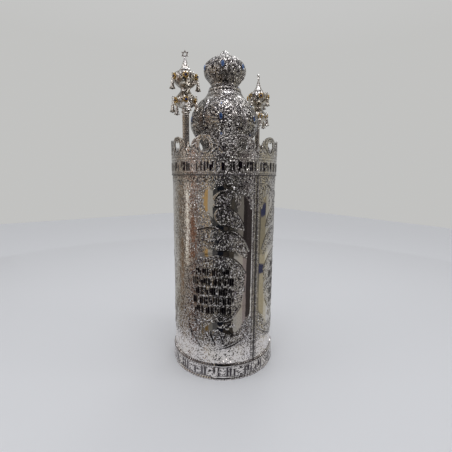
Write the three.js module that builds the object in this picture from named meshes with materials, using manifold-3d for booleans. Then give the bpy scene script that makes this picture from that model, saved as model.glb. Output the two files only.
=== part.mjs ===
import * as THREE from 'three';
import { mergeVertices } from 'three/addons/utils/BufferGeometryUtils.js';
import Module from 'manifold-3d';

// Silver scroll case: two hinged half barrels with a pierced crest, a lifting crown and two finials.
// Millimetres, +Z up. The case axis is Z and its underside is at Z = 0. The seam opens at the front (-Y).
// An azimuth is measured round the axis from the front seam, positive toward +X, in degrees.

// Driving sizes of the case
const caseR = 127.5; // outside of the barrel
const wallT = 3; // barrel wall, sheet and lining together
const plateT = 4; // floor and roof plates
const barrelTopZ = 511;
const fitGap = 0.3; // between pieces that touch
const seamGap = 0.6; // between the two halves
const ringSides = 36; // facets round the case

// Foot band
const footH = 40;
const footOut = 4.5; // how far its lip stands out of the barrel
const footFieldOut = 2.9;
const footTopOut = 1.9;
const footLipH = 6;
const footBevelH = 1.5;
const footMarksZ = 20;
const footMarkH = 15;
const footMarkCount = 9;

// Crest: inscription band and pierced lobes
const crestBottomZ = 476;
const crestT = 1.8;
const bandBorder = 0.9; // how far the borders stand out
const bandBorderH = 4;
const bandTopZ = 515;
const lobeTopZ = 561;
const valleyZ = 531;
const palmetteTopZ = 548;
const lobesPerHalf = 5;
const windowW = 20;
const windowBottomZ = 528;
const windowTopZ = 552;
const crestMarksZ = 496;
const crestMarkH = 20;
const crestMarkCount = 8;

// Chased panels of the barrel
const panelAzimuth = 45.5; // middle of a panel, from the seam
const reliefH = 2; // how far a chased line stands out
const reliefW = 4.5; // and how wide it is at the wall
const cartoucheZ = 226;
const cartoucheHalfW = 69;
const cartoucheHalfH = 73;
const seamRopeInset = 4.5; // middle of the rope strip, from the seam
const ropeEndGap = 2; // from a rope to the bands above and below it
const textRows = 5;
const textRowPitch = 23;
const textRowZ = 176;
const textHalfW = 22;
const textMarkH = 14;
const textMarksPerRow = 2;
const markT = 0.8; // how far a mark stands out

// Hinge at the back
const hingeOut = 7.9; // from the barrel to the hinge axis
const knuckleR = 3.3;
const pinR = 1.5;
const hingeBottomZ = 70;
const hingeTopZ = 450;
const knuckleH = 60;
const leafT = 1.5;
const hingeLeafAngle = 9; // degrees of wall that a leaf covers
const pinGap = 0.5; // round the pin in its knuckles
const pinHeadH = 3;
const armInset = 0.1; // from a knuckle's bore and from its outside to the arm that carries it

// Crown: profile radii and heights above the roof
const crownLobes = 6;
const crownAzimuth = -40.5; // azimuth of the middle of one lobe
const crownFootR = 60;
const crownFootH = 8;
const crownWaistR = 52;
const crownWaistH = 24;
const domeGap = 23.6; // from the dome's widest to the finial axis
const domeWideH = 86;
const domeShoulderR = 67.7;
const domeShoulderH = 126;
const collarR = 38.6;
const collarH = 157;
const neckR = 32.4;
const neckH = 174;
const bulbR = 50.4;
const bulbWideH = 207;
const crownTipR = 9;
const crownH = 253.4;
const lobeGroove = 0.04; // share of the radius that a lobe falls in beside its rib
const palmetteAngles = [45, -45, 180]; // leaves round a dome stone, from upright
const palmetteInner = 9; // from the stone's middle to a leaf
const leafL = 24;
const leafW = 7;
const crownLeafT = 2;

// Stones
const bulbStoneW = 8.5;
const bulbStoneH = 14;
const bulbStoneZ = 208;
const domeStoneW = 8.5;
const domeStoneH = 14;
const domeStoneZ = 90;
const stoneT = 3;

// Finials
const finialInset = 20.5; // from the outside of the barrel to the finial axis
const shaftR = 6.2;
const finialBaseR = 11;
const finialBaseH = 6;
const finialBaseNeckH = 3;
const shaftCollarOut = 3; // collar under the lower bulb
const shaftCollarH = 9;
const shaftCollarEase = 3;
const shaftH = 110;
const lowerBulbR = 24;
const lowerBulbH = 30;
const flareH = 26;
const finialNeckR = 8.5;
const finialNeckH = 3;
const upperBulbR = 26;
const upperBulbH = 35;
const capR = 13.6;
const capH = 10;
const spireH = 18;
const spireTipR = 1.3;
const starR = 7;
const starT = 1.6;
const starSeat = 1.2; // how far the tip stands in the star
const starAzimuth = 35; // degrees that a star faces away from the front, outward
const rightFinialDrop = 9; // the right one stands lower, on a shorter shaft
const finialSides = 10;

// Bells
const bellR = 7.2;
const bellH = 21;
const bellT = 1.3;
const bellCircleR = 29; // bells hang this far from the finial axis
const wireT = 1;
const hangerH = 4.5; // wire and links above a bell
const pegRoot = 5; // how far a peg starts inside the bulb's widest radius
const pegTip = 1.5; // and how far it runs past the wire
const bellSides = 6;
const upperBellAzimuths = [-105, -15, 75, 165];
const lowerBellAzimuths = [-105, -15, 28, -165]; // the third, beside the crown, hangs round to the front

const footR = caseR + footOut;
const footFieldR = caseR + footFieldOut;
const hingeY = caseR + hingeOut;
const finialX = caseR - finialInset;
const domeR = finialX - domeGap;

const wasm = await Module();
wasm.setup();

// Solid from a closed geometry, for joining and cutting
function solid(geometry) {
  const plain = geometry.clone();
  plain.deleteAttribute('normal');
  plain.deleteAttribute('uv');
  const merged = mergeVertices(plain, 1e-4);
  return new wasm.Manifold(new wasm.Mesh({
    numProp: 3,
    vertProperties: new Float32Array(merged.attributes.position.array),
    triVerts: new Uint32Array(merged.index.array),
  }));
}

function geometryOf(body) {
  const mesh = body.getMesh();
  const geometry = new THREE.BufferGeometry();
  geometry.setAttribute('position', new THREE.BufferAttribute(mesh.vertProperties, 3));
  geometry.setIndex(new THREE.BufferAttribute(mesh.triVerts, 1));
  geometry.computeVertexNormals();
  return geometry;
}

function joined(first, ...others) {
  return others.reduce((body, next) => body.add(next), first);
}

// Body of revolution about Z from [radius, height] pairs, going up on the outside
function turned(profile, sides) {
  const points = profile.map(([r, z]) => new THREE.Vector2(r, z));
  return new THREE.LatheGeometry(points, sides).rotateX(Math.PI / 2);
}

function ring(profile) {
  return solid(turned([...profile, profile[0]], ringSides));
}

function onCircle(azimuth, z, r) {
  const a = THREE.MathUtils.degToRad(azimuth);
  return new THREE.Vector3(r * Math.sin(a), -r * Math.cos(a), z);
}

// The half of a body on one side of the seam: side is -1 for left and +1 for right
function halfOf(body, side) {
  const reach = 2 * footR;
  const keep = new THREE.BoxGeometry(reach, 2 * reach, 4 * barrelTopZ);
  keep.translate(side * (reach + seamGap) / 2, 0, 0);
  return body.intersect(solid(keep));
}

// Box turned to face an azimuth, its middle at radius r
function facing(width, depth, height, azimuth, z, r) {
  const box = new THREE.BoxGeometry(width, depth, height);
  box.rotateZ(THREE.MathUtils.degToRad(azimuth));
  const place = onCircle(azimuth, z, r);
  return box.translate(place.x, place.y, place.z);
}

// A chased line along a path on a surface, given by a function of 0..1, with its ridge facing out of the case
class ChasedLine extends THREE.Curve {
  constructor(place) {
    super();
    this.place = place;
  }

  getPoint(t, target = new THREE.Vector3()) {
    return target.copy(this.place(t));
  }

  computeFrenetFrames(steps) {
    const frames = { tangents: [], normals: [], binormals: [] };
    for (let i = 0; i <= steps; i += 1) {
      const along = this.getTangentAt(i / steps);
      const point = this.getPointAt(i / steps);
      const out = new THREE.Vector3(point.x, point.y, 0);
      out.addScaledVector(along, -out.dot(along)).normalize();
      frames.tangents.push(along);
      frames.binormals.push(out);
      frames.normals.push(new THREE.Vector3().crossVectors(out, along));
    }
    return frames;
  }
}

function ridge(place, steps, width, height) {
  const sunk = height * 0.5;
  const section = new THREE.Shape();
  section.moveTo(-width / 2, -sunk);
  section.lineTo(width / 2, -sunk);
  section.lineTo(0, height);
  section.closePath();
  const path = new ChasedLine(place);
  return solid(new THREE.ExtrudeGeometry(section, { steps, bevelEnabled: false, extrudePath: path }));
}

// A pointed leaf, thickest in the middle, lying on a surface that faces out
function leaf(middle, along, out, length, width, height) {
  const across = new THREE.Vector3().crossVectors(along, out);
  const turn = new THREE.Matrix4().makeBasis(across, along, out);
  const blade = new THREE.OctahedronGeometry(1).scale(width / 2, length / 2, height);
  return solid(blade.applyMatrix4(turn).translate(middle.x, middle.y, middle.z));
}

// Leaf on the wall: from and to are places on it
function leafBetween(from, to, width, height) {
  const middle = new THREE.Vector3().addVectors(from, to).multiplyScalar(0.5);
  const along = new THREE.Vector3().subVectors(to, from);
  const length = along.length();
  along.normalize();
  const out = new THREE.Vector3(middle.x, middle.y, 0);
  out.addScaledVector(along, -out.dot(along)).normalize();
  return leaf(middle, along, out, length, width, height);
}

// Place on the wall of one half, from a place in the developed panel:
// across is measured from the panel's middle toward the seam, up is a height on the case.
function onPanel(across, up, side, panel, r) {
  const fromSeam = panel.azimuth - panel.hand * THREE.MathUtils.radToDeg(across / r);
  return onCircle(side * fromSeam, up, r);
}

// Scroll in a panel: an elliptic arc
function wallScroll(scroll, side, panel, r) {
  const place = (t) => {
    const angle = THREE.MathUtils.degToRad(scroll.from + (scroll.to - scroll.from) * t);
    const across = scroll.across + scroll.halfW * Math.cos(angle);
    const up = scroll.up + scroll.halfH * Math.sin(angle);
    return onPanel(across, up, side, panel, r);
  };
  return ridge(place, scroll.steps, reliefW, reliefH);
}

// Fan of leaves in a panel, spreading from a point
function wallFan(fan, side, panel, r) {
  return Array.from({ length: fan.count }, (_, i) => {
    const share = fan.count > 1 ? i / (fan.count - 1) : 0;
    const angle = THREE.MathUtils.degToRad(fan.from + (fan.to - fan.from) * share);
    const at = (reach) => onPanel(
      fan.across + reach * Math.cos(angle),
      fan.up + reach * Math.sin(angle),
      side,
      panel,
      r,
    );
    return leafBetween(at(fan.inner), at(fan.outer), fan.width, reliefH * 1.4);
  });
}

function cartoucheScrolls() {
  const w = cartoucheHalfW;
  const h = cartoucheHalfH;
  const z = cartoucheZ;
  return [
    { across: 0, up: z, halfW: w, halfH: h, from: 132, to: 228, steps: 4 },
    { across: 0, up: z, halfW: w, halfH: h, from: -48, to: 48, steps: 4 },
    { across: 0, up: z + h * 0.46, halfW: w * 0.74, halfH: h * 0.54, from: 18, to: 162, steps: 5 },
    { across: 0, up: z - h * 0.42, halfW: w * 0.78, halfH: h * 0.56, from: 198, to: 342, steps: 5 },
  ];
}

// The back panels carry the outline alone
function plainCartouche() {
  const outline = { across: 0, up: cartoucheZ, halfW: cartoucheHalfW, halfH: cartoucheHalfH };
  return [
    { ...outline, from: 0, to: 184, steps: 5 },
    { ...outline, from: 180, to: 364, steps: 5 },
  ];
}

// Scrolls above and below the front cartouches, placed by shares of the cartouche
function branchScrolls() {
  const w = cartoucheHalfW;
  const h = cartoucheHalfH;
  const z = cartoucheZ;
  return [
    { across: w * 0.6, up: z + h * 1.32, halfW: w * 0.44, halfH: h * 0.44, from: 172, to: -28, steps: 5 },
    { across: -w * 0.04, up: z + h * 1.56, halfW: w * 0.36, halfH: h * 0.34, from: 20, to: 235, steps: 5 },
    { across: w * 0.52, up: z + h * 2.2, halfW: w * 0.42, halfH: h * 0.3, from: 110, to: 330, steps: 5 },
    { across: w * 0.46, up: z + h * 2.76, halfW: w * 0.42, halfH: h * 0.22, from: 165, to: 20, steps: 4 },
    { across: w * 0.36, up: z - h * 1.1, halfW: w * 0.86, halfH: h * 0.86, from: 270, to: 350, steps: 3 },
  ];
}

function branchFans() {
  const w = cartoucheHalfW;
  const h = cartoucheHalfH;
  const z = cartoucheZ;
  return [
    { across: -w * 0.2, up: z - h * 2, inner: 8, outer: 42, from: 45, to: 135, count: 3, width: 10 },
    { across: 0, up: z + h, inner: 3, outer: 24, from: 55, to: 125, count: 2, width: 9 },
    { across: w * 0.5, up: z + h * 2.2, inner: 2, outer: 20, from: 150, to: 150, count: 1, width: 9 },
  ];
}

// Shallow marks in a row on a band or panel: strokes of three shapes in turn, not letters
function markRow(count, side, azimuthOf, z, height, r, start = 0) {
  const shapes = [
    { w: 0.25, h: 1, lift: 0 },
    { w: 0.85, h: 0.3, lift: 0.3 },
    { w: 0.4, h: 0.6, lift: -0.2 },
  ];
  const wallR = r * Math.cos(Math.PI / ringSides); // middle of a facet
  return Array.from({ length: count }, (_, i) => {
    const shape = shapes[(i + start) % shapes.length];
    const up = z + height * shape.lift;
    return solid(facing(height * shape.w, 2 * markT, height * shape.h, side * azimuthOf(i), up, wallR));
  });
}

function barrel(side) {
  const innerR = caseR - wallT;
  const wallBottomZ = plateT + fitGap;
  const tube = ring([[innerR, wallBottomZ], [caseR, wallBottomZ], [caseR, barrelTopZ], [innerR, barrelTopZ]]);
  const front = { azimuth: panelAzimuth, hand: 1 };
  const back = { azimuth: 180 - panelAzimuth, hand: -1 };
  const scrolls = [
    ...cartoucheScrolls().map((s) => wallScroll(s, side, front, caseR)),
    ...plainCartouche().map((s) => wallScroll(s, side, back, caseR)),
    ...branchScrolls().map((s) => wallScroll(s, side, front, caseR)),
    ...branchFans().flatMap((f) => wallFan(f, side, front, caseR)),
  ];
  const ropeAzimuth = THREE.MathUtils.radToDeg(seamRopeInset / caseR);
  const ropes = [ropeAzimuth, 180 - hingeLeafAngle - ropeAzimuth].map((azimuth) => {
    const low = footH + ropeEndGap;
    const high = crestBottomZ - ropeEndGap;
    const place = (t) => onCircle(side * azimuth, low + (high - low) * t, caseR);
    return ridge(place, 1, reliefW, reliefH);
  });
  const step = THREE.MathUtils.radToDeg(2 * textHalfW / (textMarksPerRow - 1) / caseR);
  const first = panelAzimuth - step * (textMarksPerRow - 1) / 2;
  const marks = Array.from({ length: textRows }, (_, row) => {
    const z = textRowZ + textRowPitch * row;
    return markRow(textMarksPerRow, side, (i) => first + step * i, z, textMarkH, caseR, row);
  });
  return joined(halfOf(tube, side), ...scrolls, ...ropes, ...marks.flat());
}

function plate(side, r, z) {
  return halfOf(solid(turned([[0, z], [r, z], [r, z + plateT], [0, z + plateT]], ringSides)), side);
}

function footBand(side) {
  const innerR = caseR + fitGap;
  const band = ring([
    [innerR, 0],
    [footR, 0],
    [footR, footLipH],
    [footFieldR, footLipH + footBevelH],
    [footFieldR, footH - footLipH],
    [caseR + footTopOut, footH],
    [innerR, footH],
  ]);
  const pitch = 180 / footMarkCount;
  const azimuthOf = (i) => pitch * (i + 0.5);
  const marks = markRow(footMarkCount, side, azimuthOf, footMarksZ, footMarkH, footFieldR);
  return joined(halfOf(band, side), ...marks);
}

// Everything above the crest's outline from one lobe's middle to the next, across one valley
function valleyCutter(azimuth) {
  const pitch = 180 / lobesPerHalf;
  const halfPitch = (caseR + crestT) * Math.sin(THREE.MathUtils.degToRad(pitch / 2));
  const rise = lobeTopZ - valleyZ;
  const over = lobeTopZ + 10;
  const lobeSteps = 3;
  const flank = Array.from({ length: lobeSteps + 1 }, (_, i) => {
    const turn = (i / lobeSteps) * Math.PI / 2;
    return [halfPitch * (1 - 0.86 * Math.sin(turn)), valleyZ + rise * Math.cos(turn) ** 0.8];
  });
  const tip = palmetteTopZ - valleyZ;
  const palmette = [[halfPitch * 0.11, valleyZ + tip * 0.55], [0, palmetteTopZ]];
  const rightSide = [...flank, ...palmette];
  const leftSide = rightSide.slice(0, -1).reverse().map(([x, z]) => [-x, z]);
  const outline = [[halfPitch, over], ...rightSide, ...leftSide, [-halfPitch, over]];
  const shape = new THREE.Shape(outline.map(([x, z]) => new THREE.Vector2(x, z)));
  return radialCutter(shape, azimuth);
}

// Prism cut through the crest wall along the radius at an azimuth
function radialCutter(shape, azimuth) {
  const depth = 30;
  const cutter = new THREE.ExtrudeGeometry(shape, { depth, bevelEnabled: false, curveSegments: 3 });
  cutter.rotateX(Math.PI / 2);
  cutter.translate(0, depth / 2, 0);
  cutter.rotateZ(THREE.MathUtils.degToRad(azimuth));
  const place = onCircle(azimuth, 0, caseR);
  return solid(cutter.translate(place.x, place.y, 0));
}

function windowShape() {
  const half = windowW / 2;
  const springZ = windowTopZ - half;
  const shape = new THREE.Shape();
  shape.moveTo(-half * 0.6, windowBottomZ);
  shape.lineTo(half * 0.6, windowBottomZ);
  shape.lineTo(half, windowBottomZ + half * 0.5);
  shape.lineTo(half, springZ);
  shape.absarc(0, springZ, half, 0, Math.PI, false);
  shape.lineTo(-half, windowBottomZ + half * 0.5);
  shape.closePath();
  return shape;
}

function crest(side) {
  const innerR = caseR + fitGap;
  const outerR = innerR + crestT;
  const borderR = outerR + bandBorder;
  let band = ring([
    [innerR, crestBottomZ],
    [borderR, crestBottomZ],
    [borderR, crestBottomZ + bandBorderH],
    [outerR, crestBottomZ + bandBorderH],
    [outerR, bandTopZ - bandBorderH],
    [borderR, bandTopZ - bandBorderH],
    [borderR, bandTopZ],
    [outerR, bandTopZ],
    [outerR, lobeTopZ],
    [innerR, lobeTopZ],
  ]);
  const pitch = 180 / lobesPerHalf;
  for (let i = 0; i <= lobesPerHalf; i += 1) {
    band = band.subtract(valleyCutter(side * pitch * i));
  }
  for (let i = 0; i < lobesPerHalf; i += 1) {
    band = band.subtract(radialCutter(windowShape(), side * pitch * (i + 0.5)));
  }
  const markPitch = 180 / crestMarkCount;
  const azimuthOf = (i) => markPitch * (i + 0.5);
  const marks = markRow(crestMarkCount, side, azimuthOf, crestMarksZ, crestMarkH, outerR);
  return joined(halfOf(band, side), ...marks);
}

// Hinge: knuckles in turn, low and high on the left leaf and the middle one on the right
function knuckle(low, high) {
  const boreR = pinR + pinGap;
  const sides = 10;
  const tube = turned([[boreR, low], [knuckleR, low], [knuckleR, high], [boreR, high], [boreR, low]], sides);
  return solid(tube.translate(0, hingeY, 0));
}

function hingeLeaf(side) {
  const innerR = caseR + fitGap;
  const leafR = innerR + leafT;
  const middle = (hingeBottomZ + hingeTopZ) / 2;
  const spans = side < 0
    ? [[hingeBottomZ, hingeBottomZ + knuckleH], [hingeTopZ - knuckleH, hingeTopZ]]
    : [[middle - knuckleH / 2, middle + knuckleH / 2]];
  const sleeve = ring([[innerR, hingeBottomZ], [leafR, hingeBottomZ], [leafR, hingeTopZ], [innerR, hingeTopZ]]);
  const reach = 2 * caseR;
  const cut = new THREE.BoxGeometry(reach, reach, reach * 4);
  const edge = caseR * Math.sin(THREE.MathUtils.degToRad(hingeLeafAngle));
  cut.translate(side * (reach / 2 + seamGap / 2 - reach + edge), hingeY, 0);
  const strap = halfOf(sleeve, side).intersect(solid(cut));
  const knuckles = spans.map(([low, high]) => {
    const armW = knuckleR - pinR - pinGap - armInset;
    const armBottom = leafR - leafT / 2;
    const arm = new THREE.BoxGeometry(armW, hingeY - armBottom, high - low);
    const armX = side * (knuckleR - armInset - armW / 2);
    arm.translate(armX, (hingeY + armBottom) / 2, (low + high) / 2);
    return knuckle(low, high).add(solid(arm));
  });
  return joined(strap, ...knuckles);
}

function hingePin() {
  const low = hingeBottomZ - fitGap;
  const high = hingeTopZ + fitGap;
  const sides = 8;
  const pin = turned([
    [0, low - pinHeadH],
    [knuckleR * 0.7, low - pinHeadH],
    [knuckleR, low],
    [pinR, low],
    [pinR, high],
    [knuckleR, high],
    [knuckleR * 0.7, high + pinHeadH],
    [0, high + pinHeadH],
  ], sides);
  return solid(pin.translate(0, hingeY, 0));
}

const roofZ = barrelTopZ + fitGap;
const standZ = roofZ + plateT + fitGap; // where the crown and the finials stand

// Crown profile as one smooth curve through its named sizes, with crisp mouldings at the neck
function crownProfile() {
  const smooth = (points, steps) => new THREE.SplineCurve(points.map(([r, z]) => new THREE.Vector2(r, z)))
    .getPoints(steps).map((p) => [p.x, p.y]);
  const foot = [[0, 0], [crownFootR, 0], [crownFootR, crownFootH]];
  const dome = smooth([
    [crownWaistR, crownWaistH],
    [domeR * 0.82, crownWaistH + (domeWideH - crownWaistH) * 0.435],
    [domeR, domeWideH],
    [domeR * 0.96, domeWideH + domeR * 0.26],
    [domeShoulderR, domeShoulderH],
    [collarR * 1.13, collarH * 0.95],
  ], 8);
  const throatR = neckR * 1.12;
  const collar = [[collarR, collarH * 0.96], [collarR, collarH], [throatR, collarH * 1.03], [neckR, neckH]];
  const bulb = smooth([
    [throatR, neckH * 1.046],
    [bulbR * 0.92, bulbWideH - bulbR * 0.3],
    [bulbR, bulbWideH],
    [bulbR * 0.93, bulbWideH + bulbR * 0.28],
    [bulbR * 0.44, bulbWideH + bulbR * 0.6],
    [crownTipR, crownH * 0.976],
  ], 6);
  return [...foot, ...dome, ...collar, ...bulb, [0, crownH]];
}

// Radius of the crown at a height, without its lobes
function crownRadiusAt(height) {
  const rows = crownProfile();
  const i = rows.findIndex(([, z], k) => k > 1 && z >= height);
  const [r0, z0] = rows[i - 1];
  const [r1, z1] = rows[i];
  return r0 + (r1 - r0) * (height - z0) / (z1 - z0);
}

const lobeHalf = 180 / crownLobes;
const ribHalf = 4; // degrees from the top of a rib to its foot

function lobeShare(offset, height) {
  const dome = THREE.MathUtils.smoothstep(height, crownWaistH, domeWideH * 0.8)
    * (1 - THREE.MathUtils.smoothstep(height, domeShoulderH, collarH));
  const bulb = THREE.MathUtils.smoothstep(height, neckH, bulbWideH * 0.95)
    * (1 - THREE.MathUtils.smoothstep(height, bulbWideH + 20, crownH));
  const away = Math.min(Math.abs(offset) / (lobeHalf - ribHalf), 1);
  const rib = THREE.MathUtils.clamp((Math.abs(offset) - (lobeHalf - ribHalf)) / ribHalf, 0, 1);
  return 1 - lobeGroove * (dome + bulb) * (away ** 2 - 0.8 * rib);
}

function onCrown(azimuth, height, lift) {
  const offset = THREE.MathUtils.euclideanModulo(azimuth - crownAzimuth + lobeHalf, 2 * lobeHalf) - lobeHalf;
  return onCircle(azimuth, standZ + height, crownRadiusAt(height) * lobeShare(offset, height) + lift);
}

// Tilt of the crown's wall at a height: 0 where it is upright, positive where it faces down
function crownSlope(height) {
  const reach = 3;
  return Math.atan2(crownRadiusAt(height + reach) - crownRadiusAt(height - reach), 2 * reach);
}

// Places a geometry made facing +Z so that it faces out of the crown
function setOnCrown(geometry, azimuth, height, lift) {
  geometry.rotateX(Math.PI / 2 + crownSlope(height));
  geometry.rotateZ(THREE.MathUtils.degToRad(azimuth));
  const place = onCrown(azimuth, height, 0);
  const out = onCircle(azimuth, 0, Math.cos(crownSlope(height)));
  out.z = -Math.sin(crownSlope(height));
  place.addScaledVector(out, lift);
  return geometry.translate(place.x, place.y, place.z);
}

function stoneRows() {
  return [
    { name: 'bulb', height: bulbStoneZ, w: bulbStoneW, h: bulbStoneH },
    { name: 'dome', height: domeStoneZ, w: domeStoneW, h: domeStoneH },
  ];
}

function crown() {
  const columns = [-lobeHalf, -lobeHalf + ribHalf, -9, 9, lobeHalf - ribHalf];
  const rows = crownProfile();
  const body = turned(rows, columns.length * crownLobes);
  const place = body.attributes.position;
  for (let i = 0; i < place.count; i += 1) {
    const column = Math.floor(i / rows.length) % (columns.length * crownLobes);
    const [r, height] = rows[i % rows.length];
    const offset = columns[column % columns.length];
    const azimuth = crownAzimuth + 2 * lobeHalf * Math.floor(column / columns.length) + offset;
    const point = onCircle(azimuth, standZ + height, r * lobeShare(offset, height));
    place.setXYZ(i, point.x, point.y, point.z);
  }
  const extras = [];
  for (let lobe = 0; lobe < crownLobes; lobe += 1) {
    const middle = crownAzimuth + 2 * lobeHalf * lobe;
    for (const turn of palmetteAngles) {
      const angle = THREE.MathUtils.degToRad(turn);
      const at = (reach) => onCrown(
        middle + THREE.MathUtils.radToDeg(reach * Math.sin(angle) / domeR),
        domeStoneZ + reach * Math.cos(angle),
        0,
      );
      extras.push(leafBetween(at(palmetteInner), at(palmetteInner + leafL), leafW, crownLeafT));
    }
  }
  return joined(solid(body), ...extras);
}

// Cut stone: a flat table with sloping sides, oval, set on the crown's wall
function stone(row, lobe) {
  const cut = new THREE.CylinderGeometry(0.55, 1, stoneT, 6).rotateX(Math.PI / 2);
  cut.scale(row.w / 2, row.h / 2, 1);
  return setOnCrown(cut, crownAzimuth + 2 * lobeHalf * lobe, row.height, fitGap + stoneT / 2);
}

// Heights on a finial, above the roof, for a shaft shortened by drop
function finialHeights(drop) {
  const lowerBottom = shaftH - drop;
  const lowerTop = lowerBottom + lowerBulbH;
  const neck = lowerTop + flareH * 0.42;
  const upperBottom = neck + finialNeckH;
  const upperTop = upperBottom + upperBulbH;
  const capTop = upperTop + capH;
  return { lowerBottom, lowerTop, neck, upperBottom, upperTop, capTop, tip: capTop + spireH };
}

function finial(side, drop) {
  const h = finialHeights(drop);
  const midLower = h.lowerBottom + lowerBulbH * 0.5;
  const midUpper = h.upperBottom + upperBulbH * 0.55;
  const body = turned([
    [0, 0],
    [finialBaseR, 0],
    [finialBaseR * 0.8, finialBaseH],
    [shaftR, finialBaseH + finialBaseNeckH],
    [shaftR, h.lowerBottom - shaftCollarH - shaftCollarEase],
    [shaftR + shaftCollarOut, h.lowerBottom - shaftCollarH],
    [lowerBulbR * 0.425, h.lowerBottom],
    [lowerBulbR * 0.86, midLower - lowerBulbH * 0.3],
    [lowerBulbR, midLower],
    [lowerBulbR * 0.86, midLower + lowerBulbH * 0.26],
    [lowerBulbR * 0.6, h.lowerTop],
    [finialNeckR, h.neck],
    [finialNeckR, h.upperBottom],
    [upperBulbR * 0.8, h.upperBottom + upperBulbH * 0.24],
    [upperBulbR, midUpper],
    [upperBulbR * 0.88, midUpper + upperBulbH * 0.24],
    [capR, h.upperTop],
    [capR * 0.4, h.capTop],
    [spireTipR, h.tip],
    [0, h.tip],
  ], finialSides);
  body.translate(0, 0, standZ);
  const extras = [star(side, h.tip), ...bellPegs(side, h)];
  const whole = joined(solid(body), ...extras);
  return geometryOf(whole).translate(side * finialX, 0, 0);
}

// Flat six-pointed openwork star on the tip of a finial
function star(side, tip) {
  const points = 6;
  const outline = Array.from({ length: 2 * points }, (_, i) => {
    const angle = Math.PI * (i / points + 0.5);
    const r = i % 2 ? starR * 0.7 : starR;
    return new THREE.Vector2(r * Math.cos(angle), r * Math.sin(angle));
  });
  const shape = new THREE.Shape(outline);
  const hole = new THREE.Path().absarc(0, 0, starR * 0.45, 0, 2 * Math.PI, true);
  shape.holes.push(hole);
  const flat = new THREE.ExtrudeGeometry(shape, { depth: starT, bevelEnabled: false, curveSegments: 3 });
  flat.translate(0, 0, -starT / 2);
  flat.rotateX(Math.PI / 2);
  flat.rotateZ(THREE.MathUtils.degToRad(side * starAzimuth));
  return solid(flat.translate(0, 0, standZ + tip + starR - starSeat));
}

// Where the bells of a finial hang: azimuth about the finial and height of the peg
function bellPlaces(side, h) {
  const upperZ = h.upperBottom + upperBulbH * 0.58;
  const lowerZ = h.lowerBottom + lowerBulbH * 0.5;
  const tier = (word, azimuths, z) => azimuths.map((azimuth, i) => (
    { name: `${word}_${i + 1}`, azimuth: -side * azimuth, z }
  ));
  return [...tier('upper', upperBellAzimuths, upperZ), ...tier('lower', lowerBellAzimuths, lowerZ)];
}

function bellPegs(side, h) {
  return bellPlaces(side, h).map(({ azimuth, z }) => {
    const length = bellCircleR + pegTip - lowerBulbR + pegRoot;
    return solid(facing(wireT, length, wireT, azimuth, standZ + z, bellCircleR + pegTip - length / 2));
  });
}

// Bell on its wire, hanging just under a peg
function bell(side, place) {
  const wireR = wireT / 2;
  const wireTop = bellH + hangerH;
  const body = turned([
    [0, bellH * 0.6],
    [bellR - bellT, 0],
    [bellR, 0],
    [bellR * 0.48, bellH * 0.75],
    [wireR, bellH],
    [wireR, wireTop],
    [0, wireTop],
  ], bellSides);
  const hang = onCircle(place.azimuth, standZ + place.z - wireR - fitGap - wireTop, bellCircleR);
  return body.translate(side * finialX + hang.x, hang.y, hang.z);
}

const silver = { color: 0xc6c3bd, roughness: 0.22, metalness: 1 };
const dullSilver = { color: 0xa9a6a2, roughness: 0.4, metalness: 1 };
const lightBlue = { color: 0x4f86c8, roughness: 0.05, metalness: 0 };
const deepBlue = { color: 0x1f4a86, roughness: 0.05, metalness: 0 };

function mesh(name, geometry, finish) {
  const piece = new THREE.Mesh(geometry, new THREE.MeshStandardMaterial(finish));
  piece.name = name;
  return piece;
}

const torahCase = new THREE.Group();

for (const [word, side, drop] of [['left', -1, 0], ['right', 1, rightFinialDrop]]) {
  torahCase.add(
    mesh(`barrel_${word}`, geometryOf(barrel(side)), silver),
    mesh(`floor_${word}`, geometryOf(plate(side, caseR, 0)), dullSilver),
    mesh(`roof_${word}`, geometryOf(plate(side, caseR, roofZ)), silver),
    mesh(`foot_band_${word}`, geometryOf(footBand(side)), silver),
    mesh(`crest_${word}`, geometryOf(crest(side)), silver),
    mesh(`hinge_leaf_${word}`, geometryOf(hingeLeaf(side)), silver),
    mesh(`finial_${word}`, finial(side, drop), silver),
  );
  for (const place of bellPlaces(side, finialHeights(drop))) {
    torahCase.add(mesh(`bell_${word}_${place.name}`, bell(side, place), silver));
  }
}

torahCase.add(
  mesh('hinge_pin', geometryOf(hingePin()), silver),
  mesh('crown', geometryOf(crown()), silver),
);

for (const row of stoneRows()) {
  for (let lobe = 0; lobe < crownLobes; lobe += 1) {
    const finish = row.name === 'bulb' ? lightBlue : deepBlue;
    torahCase.add(mesh(`stone_${row.name}_${lobe + 1}`, stone(row, lobe), finish));
  }
}

export default torahCase;
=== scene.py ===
import math
import bpy
import numpy as np
from mathutils import Matrix, Vector


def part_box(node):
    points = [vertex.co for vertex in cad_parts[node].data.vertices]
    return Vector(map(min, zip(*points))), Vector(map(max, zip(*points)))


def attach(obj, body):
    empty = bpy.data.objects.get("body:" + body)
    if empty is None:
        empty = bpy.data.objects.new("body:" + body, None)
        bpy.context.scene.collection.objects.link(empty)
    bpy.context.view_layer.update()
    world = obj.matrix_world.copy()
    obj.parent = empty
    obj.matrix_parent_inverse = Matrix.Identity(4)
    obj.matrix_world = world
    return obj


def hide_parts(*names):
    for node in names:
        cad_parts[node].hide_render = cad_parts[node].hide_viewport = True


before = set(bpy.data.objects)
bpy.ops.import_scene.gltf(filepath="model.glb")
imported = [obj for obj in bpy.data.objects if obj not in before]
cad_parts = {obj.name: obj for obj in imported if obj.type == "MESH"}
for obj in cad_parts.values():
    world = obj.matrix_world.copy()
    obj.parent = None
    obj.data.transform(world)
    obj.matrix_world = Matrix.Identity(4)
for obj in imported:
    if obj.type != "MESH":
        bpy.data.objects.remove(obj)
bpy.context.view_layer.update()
mm = 0.001
print("frame loaded,", len(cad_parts), "nodes")

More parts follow.
